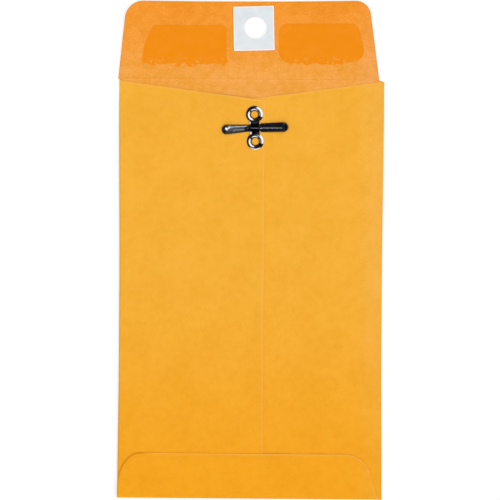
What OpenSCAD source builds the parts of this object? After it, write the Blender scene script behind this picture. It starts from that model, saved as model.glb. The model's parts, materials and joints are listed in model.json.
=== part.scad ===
// Clasp envelope: a folded kraft pocket with a gummed seal flap, a reinforced hole and a two-prong clasp.
// It lies on its front face with the clasp side up. +X is right and +Y runs towards the seal flap.
// All lengths are in millimetres, and the origin is under the middle of the opened envelope.

/* [Pocket] */
// Width of the pocket over its side folds
pocket_w = 101.6; // [80:0.1:180]
// Height of the pocket from its bottom fold to the score line of the flap
pocket_h = 161.9; // [110:0.1:260]
// Thickness of the kraft paper
paper_t = 0.16; // [0.12:0.01:0.3]
// Free height left in the empty pocket under the clinched clasp
pocket_slack = 0.45; // [0.3:0.05:4]
// Thickness of a dried adhesive film
glue_t = 0.03; // [0.02:0.01:0.08]

/* [Throat] */
// Drop of the throat at the left side fold, below the score line
throat_left_drop = 0.9; // [0.2:0.1:3]
// Drop of the throat at the right side fold, below the score line
throat_right_drop = 0.4; // [0.2:0.1:3]
// Drop of the throat at its lowest point, where the edges of the two back panels cross
throat_depth = 7.4; // [4:0.1:16]
// Sideways place of the throat's lowest point
throat_x = 0.9; // [-4:0.1:4]

/* [Back seam] */
// Sideways place of the cut edge of the upper back panel
seam_x = 5; // [4:0.1:12]
// Width over which the two back panels overlap
seam_overlap = 16; // [12:0.5:30]
// Width of the seam's glue line
seam_glue_w = 7; // [3:0.5:9]
// Setback of the seam's glue line from the cut edge
seam_glue_setback = 2.5; // [1:0.5:3]
// Distance of the seam's glue line from the bottom fold and from the clasp
seam_glue_from_ends = 3; // [1:0.5:10]

/* [Bottom flap] */
// Height of the bottom flap from the bottom fold
bottom_flap_h = 17.4; // [14:0.1:30]
// Setback of the bottom flap's right end from the right side fold's edge
bottom_flap_setback = 1.9; // [1.2:0.1:6]
// Inward lean of the bottom flap's left end, over its height
bottom_flap_left_lean = 0.5; // [0.3:0.1:6]
// Inward lean of the bottom flap's right end, over its height
bottom_flap_right_lean = 4.8; // [0.5:0.1:8]
// Corner radius of the bottom flap at its left
bottom_flap_left_r = 10; // [2:0.5:12]
// Corner radius of the bottom flap at its right
bottom_flap_right_r = 9.5; // [2:0.5:12]
// Margin between the bottom flap's edges and its glue band
bottom_glue_margin = 4; // [1:0.5:6]

/* [Seal flap] */
// Height of the seal flap beyond the centre of its hole
flap_beyond_hole = 10.3; // [9.5:0.1:20]
// Setback of the flap's left end from the left side fold's edge
flap_left_setback = 0.1; // [0:0.1:4]
// Setback of the flap's right end from the right side fold's edge
flap_right_setback = 1.8; // [0:0.1:4]
// Inward lean of the flap's left end, over its height
flap_left_lean = 3; // [0.5:0.1:12]
// Inward lean of the flap's right end, over its height
flap_right_lean = 4.1; // [0.5:0.1:12]
// Corner radius of the flap
flap_r = 6.1; // [2:0.1:10]
// Room between the closed flap and the back panels at the score line
flap_clearance = 0.13; // [0.05:0.01:0.5]

/* [Gum] */
// Distance of the left gum's lower edge from the score line
left_gum_from_score = 5.4; // [3:0.1:9]
// Distance of the right gum's lower edge from the score line
right_gum_from_score = 6.3; // [3:0.1:9]
// Distance of the left gum's upper edge from the flap's free edge
left_gum_from_edge = 9.4; // [3:0.1:10]
// Distance of the right gum's upper edge from the flap's free edge
right_gum_from_edge = 8.6; // [3:0.1:10]
// Gap between the reinforcing patch and the left gum
left_gum_from_patch = 2.4; // [1:0.1:6]
// Gap between the reinforcing patch and the right gum
right_gum_from_patch = 1.6; // [1:0.1:6]
// Distance of the left gum's lower corner from the flap's left end
left_gum_from_end = 8; // [3:0.1:14]
// Distance of the right gum's lower corner from the flap's right end
right_gum_from_end = 3.6; // [3:0.1:14]
// Inward lean of the gum's outer ends, over their height
gum_lean = 4.4; // [1:0.1:6]
// Corner radius of the gum
gum_r = 2.2; // [0.5:0.1:4]

/* [Hole and patch] */
// Diameter of the hole through the flap and its patch
hole_d = 8.9; // [8.4:0.1:10]
// Distance by which the flap's hole lies past the clasp when the flap is closed
hole_past_clasp = 1.4; // [0:0.1:1.8]
// Width of the reinforcing patch
patch_w = 15.9; // [13:0.1:22]
// Height of the reinforcing patch
patch_h = 17.3; // [13:0.1:19]
// Thickness of the patch
patch_t = 0.13; // [0.08:0.01:0.3]
// Sideways offset of the patch's centre from the hole's centre
patch_offset = -0.6; // [-1.5:0.1:1.5]
// Turn of the patch, anticlockwise, in degrees
patch_turn = 1.6; // [-4:0.1:4]

/* [Clasp] */
// Sideways place of the clasp and of the hole that goes over it
clasp_x = 1.3; // [-2:0.1:3]
// Distance of the upper eyelet's rim below the lowest point of the throat
clasp_below_throat = 2.9; // [2:0.1:10]
// Turn of the clasp, anticlockwise, in degrees
clasp_turn = 2; // [-4:0.1:4]
// Thickness of the clasp's sheet metal
metal_t = 0.3; // [0.2:0.01:0.4]
// Outer radius of an eyelet's rolled rim
eyelet_r = 3.3; // [3:0.05:4]
// Radius of an eyelet's bore
eyelet_bore_r = 1.65; // [1.5:0.05:2.1]
// Clear length of strap between the two eyelets
strap_l = 3.8; // [3.6:0.1:8]
// Width of the strap between the two eyelets
strap_w = 3.5; // [3:0.1:4]
// Clearance of an eyelet's barrel in the paper
barrel_clearance = 0.05; // [0.02:0.01:0.2]
// Reach of the clinched end of a barrel below the paper
clinch_h = 0.35; // [0.32:0.01:0.5]

/* [Prongs] */
// Length of a prong from its bend to its tip
prong_l = 11.1; // [8:0.1:14]
// Width of a prong at its rounded tip
prong_tip_w = 3.8; // [3:0.1:4]
// Height of the arched section at the tip
prong_tip_h = 0.95; // [0.7:0.05:1.2]
// Height of the arched section where it leaves the bend
prong_root_h = 0.5; // [0.4:0.05:0.7]
// Width of the flat tongue at the bend
tongue_w = 2.6; // [2:0.1:2.8]
// Length of the flat tongue beyond the bend
tongue_l = 1.2; // [0.8:0.1:3]
// Clearance of the prongs from the strap and the paper
prong_clearance = 0.05; // [0.03:0.01:0.1]

/* [Hidden] */

$fn = 64;
overcut = 1;

kraft_outside = [0.96, 0.69, 0.23];
kraft_inside = [0.96, 0.63, 0.26];
gum_amber = [0.95, 0.55, 0.1];
glue_milk = [0.93, 0.9, 0.8];
patch_white = [0.9, 0.92, 0.93];
bright_metal = [0.72, 0.73, 0.76];

// Layers, from the table up: front panel, pocket, lower back panel, glue, upper back panel, glue, bottom flap
under_panel_z = paper_t + pocket_slack + clinch_h;
under_panel_top = under_panel_z + paper_t;
upper_panel_z = under_panel_top + glue_t;
back_z = upper_panel_z + paper_t;
bottom_flap_z = back_z + glue_t;
patch_z = paper_t + glue_t;

// Radii over the outside of the folds, each from the front panel up to the layer that it carries
right_fold_r = under_panel_top / 2;
left_fold_r = back_z / 2;
bottom_fold_r = (bottom_flap_z + paper_t) / 2;
// The seal flap turns about a line this far above the table, so that it closes over the back panels
flap_fold_r = (back_z + paper_t + flap_clearance) / 2;
crease_w = flap_fold_r;

// Places measured down or up from the score line
eyelet_pitch = strap_l + 2 * eyelet_r;
clasp_from_score = throat_depth + clasp_below_throat + eyelet_r + eyelet_pitch / 2;
hole_from_score = clasp_from_score + hole_past_clasp;
flap_h = hole_from_score + flap_beyond_hole;

left_x = -pocket_w / 2;
right_x = pocket_w / 2;
left_fold_x = left_x + left_fold_r;
right_fold_x = right_x - right_fold_r;
bottom_y = -(pocket_h + flap_h) / 2;
score_y = bottom_y + pocket_h;
clasp_y = score_y - clasp_from_score;
hole_y = score_y + hole_from_score;
flap_left_x = left_x + flap_left_setback;
flap_right_x = right_x - flap_right_setback;
bottom_flap_end_x = right_x - bottom_flap_setback;
fold_start_y = bottom_y + bottom_fold_r;
hidden_edge_x = seam_x - seam_overlap;

// Eyelet section: a rolled rim that runs down into a barrel
rim_r = (eyelet_r - eyelet_bore_r) / 2;
barrel_r = eyelet_bore_r + metal_t;
paper_hole_r = barrel_r + barrel_clearance;
back_wall_t = back_z - under_panel_z;

// Prong section: a round-ended arch whose axis tips up towards the tip
arch_r = (pow(prong_tip_w / 2, 2) + pow(prong_tip_h, 2)) / (2 * prong_tip_h);
arch_l = prong_l - prong_tip_w / 2;
arch_tip_angle = atan((prong_tip_h - prong_root_h) / arch_l);
bend_x = strap_w / 2;
arch_start = metal_t / 2 + 3 * prong_clearance;

function unit(v) = v / norm(v);
function inward(a, b) = let (d = unit(b - a)) [-d.y, d.x];
function before(list, i) = list[(i + len(list) - 1) % len(list)];
function after(list, i) = list[(i + 1) % len(list)];

// Centre of the circle of radius r that touches both edges at corner i of an anticlockwise outline
function corner_centre(points, i, r) =
    let (m = inward(before(points, i), points[i]), n = inward(points[i], after(points, i)))
    points[i] + r * (m + n) / (1 + m * n);

// Where that circle leaves the outline's edges
function corner_points(points, i, r) =
    let (c = corner_centre(points, i, r))
    r == 0 ? [points[i]] : [
        c - r * inward(before(points, i), points[i]),
        c - r * inward(points[i], after(points, i))
    ];

// The slice of the plane, seen from that circle's centre, in which the corner is rounded
function corner_sector(points, i, r) =
    let (c = corner_centre(points, i, r), ends = corner_points(points, i, r))
    [c, for (p = [ends[0], points[i], ends[1]]) c + 2 * (p - c)];

// Height at x of a back panel's upper edge, straight from its side fold to the throat's lowest point
function throat_y(side, x) =
    let (rise = throat_depth - (side < 0 ? throat_left_drop : throat_right_drop))
    score_y - throat_depth + rise * (x - throat_x) / (side * pocket_w / 2 - throat_x);

// A convex outline, given anticlockwise, with a radius at each corner
module rounded_outline(points, radii) {
    polygon([for (i = [0 : len(points) - 1]) each corner_points(points, i, radii[i])]);
    for (i = [0 : len(points) - 1])
        if (radii[i] > 0)
            intersection() {
                translate(corner_centre(points, i, radii[i])) circle(radii[i]);
                polygon(corner_sector(points, i, radii[i]));
            }
}

module sheet(z, thickness) {
    translate([0, 0, z]) linear_extrude(thickness) children();
}

// Half of a paper tube, open towards +x, which is the section of a fold
module fold_section(outer_r) {
    difference() {
        circle(outer_r);
        circle(outer_r - paper_t);
        translate([0, -outer_r - overcut]) square(2 * (outer_r + overcut));
    }
}

module side_fold(outer_r, start_y, end_y) {
    translate([left_x + outer_r, end_y, outer_r])
        rotate([90, 0, 0])
            linear_extrude(end_y - start_y) fold_section(outer_r);
}

module at_clasp() {
    translate([clasp_x, clasp_y]) rotate(clasp_turn) children();
}

module at_eyelets() {
    for (side = [-1, 1])
        translate([0, side * eyelet_pitch / 2]) children();
}

module eyelet_holes() {
    at_clasp() at_eyelets() circle(paper_hole_r);
}

module front_panel() {
    color(kraft_inside)
        sheet(0, paper_t)
            polygon([
                [left_fold_x, fold_start_y], [bottom_flap_end_x, fold_start_y],
                [bottom_flap_end_x, bottom_y], [right_fold_x, bottom_y],
                [right_fold_x, score_y - crease_w / 2], [left_fold_x, score_y - crease_w / 2]
            ]);
}

module left_side_fold() {
    color(kraft_outside) side_fold(left_fold_r, fold_start_y, throat_y(-1, left_fold_x));
}

module right_side_fold() {
    color(kraft_outside) mirror([1, 0, 0]) side_fold(right_fold_r, bottom_y, throat_y(1, right_fold_x));
}

module left_back_panel() {
    color(kraft_outside)
        sheet(upper_panel_z, paper_t)
            difference() {
                polygon([
                    [left_fold_x, fold_start_y], [seam_x, fold_start_y],
                    [seam_x, throat_y(-1, seam_x)], [left_fold_x, throat_y(-1, left_fold_x)]
                ]);
                eyelet_holes();
            }
}

module right_back_panel() {
    color(kraft_outside)
        sheet(under_panel_z, paper_t)
            difference() {
                polygon([
                    [hidden_edge_x, fold_start_y], [bottom_flap_end_x, fold_start_y],
                    [bottom_flap_end_x, bottom_y], [right_fold_x, bottom_y],
                    [right_fold_x, throat_y(1, right_fold_x)], [hidden_edge_x, throat_y(1, hidden_edge_x)]
                ]);
                eyelet_holes();
            }
}

module bottom_fold() {
    color(kraft_outside)
        translate([left_x, fold_start_y, bottom_fold_r])
            rotate([90, 0, 90])
                linear_extrude(bottom_flap_end_x - left_x) fold_section(bottom_fold_r);
}

module bottom_flap() {
    top_y = bottom_y + bottom_flap_h;
    color(kraft_outside)
        sheet(bottom_flap_z, paper_t)
            rounded_outline([
                [left_x, fold_start_y], [bottom_flap_end_x, fold_start_y],
                [bottom_flap_end_x - bottom_flap_right_lean, top_y],
                [left_x + bottom_flap_left_lean, top_y]
            ], [0, 0, bottom_flap_right_r, bottom_flap_left_r]);
}

module seam_glue() {
    start_y = fold_start_y + seam_glue_from_ends;
    end_y = clasp_y - eyelet_pitch / 2 - eyelet_r - seam_glue_from_ends;
    color(glue_milk)
        sheet(under_panel_top, glue_t)
            translate([seam_x - seam_glue_setback - seam_glue_w, start_y])
                square([seam_glue_w, end_y - start_y]);
}

// The band fills the step beside the upper panel's cut edge, so it is thicker over the lower panel
module bottom_glue() {
    start_x = left_x + bottom_flap_left_r;
    end_x = bottom_flap_end_x - bottom_flap_right_lean - bottom_glue_margin;
    start_y = fold_start_y + bottom_glue_margin;
    band_h = bottom_flap_h - bottom_fold_r - 2 * bottom_glue_margin;
    color(glue_milk) {
        translate([start_x, start_y, back_z]) cube([end_x - start_x, band_h, glue_t]);
        translate([seam_x, start_y, under_panel_top])
            cube([end_x - seam_x, band_h, bottom_flap_z - under_panel_top]);
    }
}

module flap_crease() {
    color(kraft_inside)
        sheet(0, paper_t)
            translate([flap_left_x, score_y - crease_w / 2])
                square([flap_right_x - flap_left_x, crease_w]);
}

module flap_hole() {
    translate([clasp_x, hole_y]) circle(hole_d / 2);
}

module seal_flap() {
    start_y = score_y + crease_w / 2;
    color(kraft_inside)
        sheet(0, paper_t)
            difference() {
                rounded_outline([
                    [flap_left_x, start_y], [flap_right_x, start_y],
                    [flap_right_x - flap_right_lean, score_y + flap_h],
                    [flap_left_x + flap_left_lean, score_y + flap_h]
                ], [0, 0, flap_r, flap_r]);
                flap_hole();
            }
}

// One gum film between an upright inner end beside the patch and a leaning outer end
module gum(side, from_score, from_edge, from_patch, from_end) {
    low_y = score_y + from_score;
    high_y = score_y + flap_h - from_edge;
    inner = clasp_x + patch_offset + side * (patch_w / 2 + from_patch);
    outer_low = side < 0 ? flap_left_x + from_end : flap_right_x - from_end;
    outer_high = outer_low - side * gum_lean;
    points = side < 0
        ? [[outer_low, low_y], [inner, low_y], [inner, high_y], [outer_high, high_y]]
        : [[inner, low_y], [outer_low, low_y], [outer_high, high_y], [inner, high_y]];
    color(gum_amber) sheet(paper_t, glue_t) rounded_outline(points, [for (p = points) gum_r]);
}

module left_gum() {
    gum(-1, left_gum_from_score, left_gum_from_edge, left_gum_from_patch, left_gum_from_end);
}

module right_gum() {
    gum(1, right_gum_from_score, right_gum_from_edge, right_gum_from_patch, right_gum_from_end);
}

module patch_outline() {
    difference() {
        translate([clasp_x + patch_offset, hole_y])
            rotate(patch_turn)
                translate([-patch_w / 2, -patch_h / 2]) square([patch_w, patch_h]);
        flap_hole();
    }
}

module patch_glue() {
    color(glue_milk) sheet(paper_t, glue_t) patch_outline();
}

module hole_patch() {
    color(patch_white) sheet(patch_z, patch_t) patch_outline();
}

// Section of an eyelet: rolled rim on the paper, barrel through it and clinched curl inside the pocket
module eyelet_section() {
    difference() {
        translate([eyelet_bore_r + rim_r, 0]) circle(rim_r);
        translate([eyelet_bore_r + rim_r, 0]) circle(rim_r - metal_t);
        translate([0, -2 * rim_r]) square([2 * eyelet_r, 2 * rim_r]);
    }
    translate([eyelet_bore_r, -back_wall_t]) square([metal_t, back_wall_t]);
    translate([eyelet_bore_r + clinch_h, -back_wall_t])
        intersection() {
            circle(clinch_h);
            translate([-clinch_h, -2 * clinch_h]) square(2 * clinch_h);
        }
}

// The strap is cut back beside the prongs' bends and stops inside the eyelets' rims
module strap() {
    notch = metal_t / 2 + prong_clearance;
    difference() {
        translate([-strap_w / 2, -eyelet_pitch / 2, 0]) cube([strap_w, eyelet_pitch, metal_t]);
        at_eyelets()
            translate([0, 0, -overcut]) cylinder(r = eyelet_r - metal_t / 2, h = metal_t + 2 * overcut);
        for (side = [-1, 1])
            translate([side * bend_x - notch, -tongue_w / 2 - prong_clearance, -overcut])
                cube([2 * notch, tongue_w + 2 * prong_clearance, metal_t + 2 * overcut]);
    }
}

module clasp_base() {
    color(bright_metal)
        translate([0, 0, back_z])
            at_clasp() {
                strap();
                at_eyelets() rotate_extrude() eyelet_section();
            }
}

// A round-ended bar lying along the tipped axis of a prong's arch
module arch_bar(r) {
    translate([0, 0, prong_root_h - arch_r])
        rotate([0, -arch_tip_angle, 0]) {
            rotate([0, 90, 0]) cylinder(r = r, h = arch_l / cos(arch_tip_angle));
            translate([arch_l / cos(arch_tip_angle), 0, 0]) sphere(r);
        }
}

// One prong, along +x from its bend: a bead on the bend's axis, a flat tongue and a round-tipped arch
module prong() {
    translate([0, 0, metal_t / 2]) rotate([90, 0, 0]) cylinder(r = metal_t / 2, h = tongue_w, center = true);
    translate([0, -tongue_w / 2, 0]) cube([tongue_l, tongue_w, metal_t]);
    intersection() {
        difference() {
            arch_bar(arch_r);
            arch_bar(arch_r - metal_t);
        }
        translate([arch_start, -prong_tip_w, 0]) cube([2 * prong_l, 2 * prong_tip_w, 2 * prong_tip_h]);
    }
}

module place_prong(side) {
    color(bright_metal)
        translate([0, 0, back_z + prong_clearance])
            at_clasp()
                rotate(side < 0 ? 180 : 0)
                    translate([bend_x, 0, 0]) prong();
}

front_panel();
left_side_fold();
right_side_fold();
left_back_panel();
right_back_panel();
bottom_fold();
bottom_flap();
seam_glue();
bottom_glue();
flap_crease();
seal_flap();
left_gum();
right_gum();
patch_glue();
hole_patch();
clasp_base();
place_prong(-1);  // left_prong
place_prong(1);  // right_prong
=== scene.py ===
"""Clasp envelope: folded kraft sheets, gum, hole patch and metal clasp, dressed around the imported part."""

import json
import math

import bmesh
import bpy
import numpy as np
from bpy.props import FloatProperty, FloatVectorProperty, IntProperty, PointerProperty
from mathutils import Euler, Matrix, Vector, noise
from mathutils.geometry import delaunay_2d_cdt


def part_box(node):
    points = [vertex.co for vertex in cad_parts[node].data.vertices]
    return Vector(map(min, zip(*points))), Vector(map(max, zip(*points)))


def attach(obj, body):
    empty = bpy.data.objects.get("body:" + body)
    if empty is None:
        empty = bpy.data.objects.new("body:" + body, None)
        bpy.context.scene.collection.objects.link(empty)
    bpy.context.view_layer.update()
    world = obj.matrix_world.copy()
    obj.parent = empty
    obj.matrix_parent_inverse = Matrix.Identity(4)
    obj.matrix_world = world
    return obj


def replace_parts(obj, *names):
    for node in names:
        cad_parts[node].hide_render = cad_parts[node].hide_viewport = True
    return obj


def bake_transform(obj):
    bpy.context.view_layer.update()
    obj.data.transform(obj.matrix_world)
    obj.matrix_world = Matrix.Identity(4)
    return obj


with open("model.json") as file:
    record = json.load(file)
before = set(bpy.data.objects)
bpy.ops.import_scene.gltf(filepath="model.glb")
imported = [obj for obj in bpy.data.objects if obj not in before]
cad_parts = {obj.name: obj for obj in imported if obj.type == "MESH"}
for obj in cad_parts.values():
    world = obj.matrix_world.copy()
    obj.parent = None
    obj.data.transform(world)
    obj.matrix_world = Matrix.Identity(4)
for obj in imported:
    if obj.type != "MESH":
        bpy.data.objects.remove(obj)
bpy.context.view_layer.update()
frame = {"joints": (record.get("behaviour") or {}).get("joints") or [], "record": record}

bl_info = {
    "name": "Clasp Envelope",
    "version": (1, 0, 0),
    "blender": (4, 5, 0),
    "location": "View3D > Sidebar > Envelope",
    "description": "Builds a kraft envelope with a gummed flap, a reinforced hole and a two-prong clasp",
    "category": "Add Mesh",
}

MM = 0.001
# The two corners of a box
LOW, HIGH = 0, 1
# The word for each side, by the sign of its x
WORDS = {-1: "left", 1: "right"}


def row_named(rows, name):
    """The row of this name in one of the frame's lists."""
    return next(row for row in rows if row["name"] == name)


def joint_place(name):
    """A point on a joint's axis, and the axis."""
    row = row_named(frame["joints"], name)
    return Vector(row["pos_m"]), Vector(row["axis"])


# Layers and folds of the paper, from the frame. What differs from side to side is kept under its side.
PAPER_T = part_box("front_panel")[HIGH].z
LEFT_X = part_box("left_side_fold")[LOW].x
RIGHT_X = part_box("right_side_fold")[HIGH].x
BOTTOM_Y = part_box("bottom_fold")[LOW].y
BOTTOM_FOLD_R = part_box("bottom_fold")[HIGH].z / 2
FOLD_R = {side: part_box(word + "_side_fold")[HIGH].z / 2 for side, word in WORDS.items()}
FOLD_X = {-1: LEFT_X + FOLD_R[-1], 1: RIGHT_X - FOLD_R[1]}
SHOULDER_Y = {side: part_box(word + "_side_fold")[HIGH].y for side, word in WORDS.items()}
BOTTOM_FOLD_Y = BOTTOM_Y + BOTTOM_FOLD_R
BACK_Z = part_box("left_back_panel")[HIGH].z
UNDER_PANEL_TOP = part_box("right_back_panel")[HIGH].z
SEAM_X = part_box("left_back_panel")[HIGH].x
HIDDEN_EDGE_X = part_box("right_back_panel")[LOW].x
BOTTOM_FLAP_END_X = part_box("bottom_fold")[HIGH].x
BOTTOM_FLAP_TOP_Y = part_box("bottom_flap")[HIGH].y
BOTTOM_FLAP_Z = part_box("bottom_flap")[LOW].z
POCKET_HALF_W = (RIGHT_X - LEFT_X) / 2
SEAM_STEP = BACK_Z - UNDER_PANEL_TOP

# Seal flap, patch and gum, from the frame
SCORE_Y = joint_place("flap_fold")[0].y
CREASE_LOW_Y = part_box("flap_crease")[LOW].y
CREASE_HIGH_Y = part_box("flap_crease")[HIGH].y
FLAP_LEFT_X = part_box("flap_crease")[LOW].x
FLAP_RIGHT_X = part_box("flap_crease")[HIGH].x
FLAP_TOP_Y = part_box("seal_flap")[HIGH].y
FLAP_H = FLAP_TOP_Y - SCORE_Y
HOLE = row_named(frame["record"]["mounts"], "flap_hole")
HOLE_PLACE = Vector(HOLE["pos_m"]).xy
HOLE_R = HOLE["dims"]["r_mm"] * MM
PATCH_GLUE_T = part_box("patch_glue")[HIGH].z - PAPER_T
PATCH_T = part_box("hole_patch")[HIGH].z - PAPER_T - PATCH_GLUE_T
PATCH_PLACE = ((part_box("hole_patch")[LOW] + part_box("hole_patch")[HIGH]) / 2).xy
GUM_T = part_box("left_gum")[HIGH].z - PAPER_T

# Clasp, from the frame
LEFT_BEND = joint_place("left_prong_bend")[0]
RIGHT_BEND, RIGHT_BEND_AXIS = joint_place("right_prong_bend")
CLASP_PLACE = ((LEFT_BEND + RIGHT_BEND) / 2).xy
CLASP_TURN = math.atan2(RIGHT_BEND_AXIS.x, -RIGHT_BEND_AXIS.y)
BEND_X = (RIGHT_BEND - LEFT_BEND).length / 2
PRONG_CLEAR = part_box("right_prong")[LOW].z - BACK_Z
BARREL_DEPTH = BACK_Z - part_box("right_back_panel")[LOW].z


# Settings

def length(name, description, millimetres):
    """A length, with its default in millimetres."""
    return FloatProperty(name=name, description=description, default=millimetres * MM, unit="LENGTH")


def angle(name, description, degrees):
    """An angle, with its default in degrees."""
    return FloatProperty(name=name, description=description, default=math.radians(degrees), subtype="ANGLE")


def plain(name, description, default):
    """A number without a unit."""
    return FloatProperty(name=name, description=description, default=default)


def whole(name, description, default):
    """A whole number."""
    return IntProperty(name=name, description=description, default=default)


def paint(name, description, *default):
    """A colour."""
    return FloatVectorProperty(name=name, description=description, default=default, subtype="COLOR", size=3)


class EnvelopePaper(bpy.types.PropertyGroup):
    """How the kraft blank is cut, how it lies and what colour it has."""

    throat_x: length("Throat Place", "Sideways place of the throat's lowest point", 0.6)
    throat_depth: length("Throat Depth", "Depth of the throat's lowest point below the score line", 7.55)
    shoulder_rise: length("Shoulder Rise", "Rise of the right shoulder from its fold to the flap's foot", 0.5)
    flap_left_lean: length("Flap Left Lean", "Inward lean of the flap's left end", 3.0)
    flap_right_lean: length("Flap Right Lean", "Inward lean of the flap's right end", 4.1)
    flap_left_radius: length("Flap Left Corner", "Corner radius of the seal flap at its left", 7.3)
    flap_right_radius: length("Flap Right Corner", "Corner radius of the seal flap at its right", 6.1)
    bottom_right_lean: length("Bottom Right Lean", "Inward lean of the bottom flap's right end", 4.8)
    bottom_left_width: length("Long Corner Width", "Width of the bottom flap's long left corner", 8.5)
    bottom_left_height: length("Long Corner Height", "Height of the bottom flap's long left corner", 13.0)
    bottom_right_radius: length("Bottom Right Corner", "Corner radius of the bottom flap at its right", 9.5)
    puff: length("Pocket Puff", "Swell of the empty pocket's back", 0.9)
    flap_spring: length("Flap Spring", "Height to which the opened flap springs up past its score line", 0.3)
    flap_curl: length("Flap Curl", "Further rise of the flap's free corners", 0.35)
    flap_bow: length("Flap Bow", "Hollow of the flap's free edge at its middle", 0.45)
    flap_skew: plain("Flap Skew", "Slope of the flap's free edge against its score line", 0.0085)
    flap_left_flare: plain("Flap Left Flare", "Share by which the flap's left half is wider", 0.009)
    flap_right_draw: plain("Flap Right Draw", "Share by which the flap's right end is drawn in", 0.0045)
    skew: plain("Skew", "Slope of the sheet's cross lines", 0.003)
    clasp_press: length("Clasp Press", "Rise of the front panel to the clinched clasp", 0.38)
    throat_press: length("Throat Press", "Rise of the front panel to the throat's lowest point", 0.65)
    eyelet_emboss: length("Eyelet Emboss", "Further rise of the front panel within an eyelet's bore", 1.05)
    throat_gap: length("Throat Gap", "Gap to which the throat's edges sag towards the front panel", 0.03)
    edge_lift: length("Edge Lift", "Rise of a free cut edge off the sheet below it", 0.07)
    top_flare: plain("Top Flare", "Share by which the sheet is wider at the score line", 0.008)
    bottom_flare: plain("Bottom Flare", "Share by which the sheet is wider at the bottom", 0.0045)
    waist: plain("Waist", "Share by which the sheet is narrower at mid height", 0.0025)
    outside_high: paint("Outside, High", "Paper's outside near the throat", 0.889, 0.428, 0.0445)
    outside_low: paint("Outside, Low", "Paper's outside at the bottom", 0.88, 0.366, 0.0138)
    inside_high: paint("Inside, High", "Paper's inside at the flap's free edge", 0.9, 0.312, 0.034)
    inside_low: paint("Inside, Low", "Paper's inside below the score line", 0.895, 0.395, 0.094)
    cut_edge: paint("Cut Edge", "Fibres at a cut edge", 0.95, 0.56, 0.16)
    # Painted shade: the flap's inside is darker along its cut edges
    flap_edge_shade: paint("Flap Edge Shade", "Paper's inside along the flap's edge", 0.72, 0.22, 0.02)


class EnvelopeGum(bpy.types.PropertyGroup):
    """The two films of seal gum."""

    lean: length("Lean", "Inward lean of the gum's outer ends", 4.4)
    sharp_corner: length("Sharp Corner", "Corner radius at the outer end of the left film", 0.8)
    corner: length("Corner", "Corner radius of a film beside the patch", 2.2)
    round_corner: length("Round Corner", "Corner radius of the right film", 3.4)
    low_corner: length("Low Corner", "Corner radius of the right film's lower corners", 5.0)
    bulge_radius: length("Bulge", "Radius of the left film's bulging outer end", 15)
    ragged: length("Ragged Edge", "Wander of a film's lower edge", 1.2)
    wander: length("Wander", "Wander of a film's other edges", 0.16)
    specks: plain("Specks", "Dried droplets per square metre along the lower edge", 600000)
    speck_size: length("Speck Size", "Radius of the largest dried droplet", 0.28)
    left_seed: whole("Left Seed", "Seed of the left film's ragged edge", 149)
    right_seed: whole("Right Seed", "Seed of the right film's ragged edge", 254)
    seed: whole("Seed", "Seed of the droplets' places", 7)
    colour: paint("Colour", "Paper under the gum", 0.845, 0.252, 0.003)


class EnvelopePatch(bpy.types.PropertyGroup):
    """The white patch round the hole."""

    width: length("Width", "Width of the patch", 15.45)
    height: length("Height", "Height of the patch", 17.3)
    drop: length("Drop", "How far the patch sits below its place", 0.22)
    turn: angle("Turn", "Turn of the patch", 1.45)
    colour: paint("Colour", "The patch's coated paper", 0.735, 0.777, 0.8)


class EnvelopeClasp(bpy.types.PropertyGroup):
    """The stamped clasp."""

    metal: length("Metal", "Thickness of the sheet metal", 0.3)
    pitch: length("Eyelet Pitch", "Distance between the eyelets", 10.4)
    eyelet_radius: length("Eyelet Radius", "Outer radius of an eyelet's rolled rim", 3.3)
    bore_radius: length("Bore Radius", "Radius of an eyelet's bore", 1.65)
    rim_height: length("Rim Height", "Height of an eyelet's rim over the paper", 0.5)
    rim_shift: length("Rim Shift", "Shift of a rim's crest, outwards at left and inwards at right", 0.25)
    paper_hole: length("Paper Hole", "Radius of the holes in the paper", 2.0)
    clinch: length("Clinch", "Reach of a barrel's curled end", 0.35)
    tongue_width: length("Tongue Width", "Width of a prong at its bend", 2.6)
    prong_length: length("Prong Length", "Length of a prong from its bend", 11.1)
    prong_width: length("Prong Width", "Width of a prong at its tip", 3.8)
    right_shoulder: length("Right Shoulder", "Width to which the right prong flares past its bend", 3.4)
    tip_height: length("Tip Height", "Height of a prong's arch at its tip", 0.85)
    root_height: length("Root Height", "Height of a prong's arch at its bend", 0.3)
    arch_power: plain("Arch Power", "Power of a prong's section: the higher, the flatter its top", 12)
    groove_width: length("Groove Width", "Width of the groove pressed along the left prong", 0.75)
    groove_depth: length("Groove Depth", "Depth of the lines pressed along a prong", 0.2)
    burr_height: length("Burr Height", "Height of the two burrs on the strap's left edge", 0.36)
    left_lean: angle("Left Prong Lean", "Sideways lean of the left prong", 1.8)
    edge_round: length("Edge Round", "Rounding of the stamped edges", 0.11)
    colour: paint("Colour", "The plated steel", 0.72, 0.74, 0.80)
    # Painted dark reflection and shade on the clasp, with tarnish and painted shade in the bores
    tarnish_and_shade: paint("Tarnish and Shade", "Steel along its rims and in its bores", 0.022, 0.022, 0.03)


class EnvelopeStage(bpy.types.PropertyGroup):
    """Camera, lamps and floor."""

    lens: plain("Lens", "Focal length, in millimetres", 135)
    across: length("Across", "Width of the view at the envelope", 192.9)
    roll: angle("Roll", "Turn of the camera about its line of sight", 0.35)
    key: plain("Key Lamp", "Strength of the lamp at the lower right", 0.25)
    soft: plain("Soft Lamps", "Strength of each of the two wide lamps at the left", 0.697)
    softbox: plain("Softboxes", "Brightness of the softboxes round the envelope", 1.4)
    room: plain("Room", "Brightness of the dark room behind the softboxes", 0.016)
    floor: paint("Floor", "The floor", 0.5, 0.5, 0.5)
    floor_glow: plain("Floor Glow", "Brightness that the floor has to the camera besides its light", 0.5)


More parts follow.
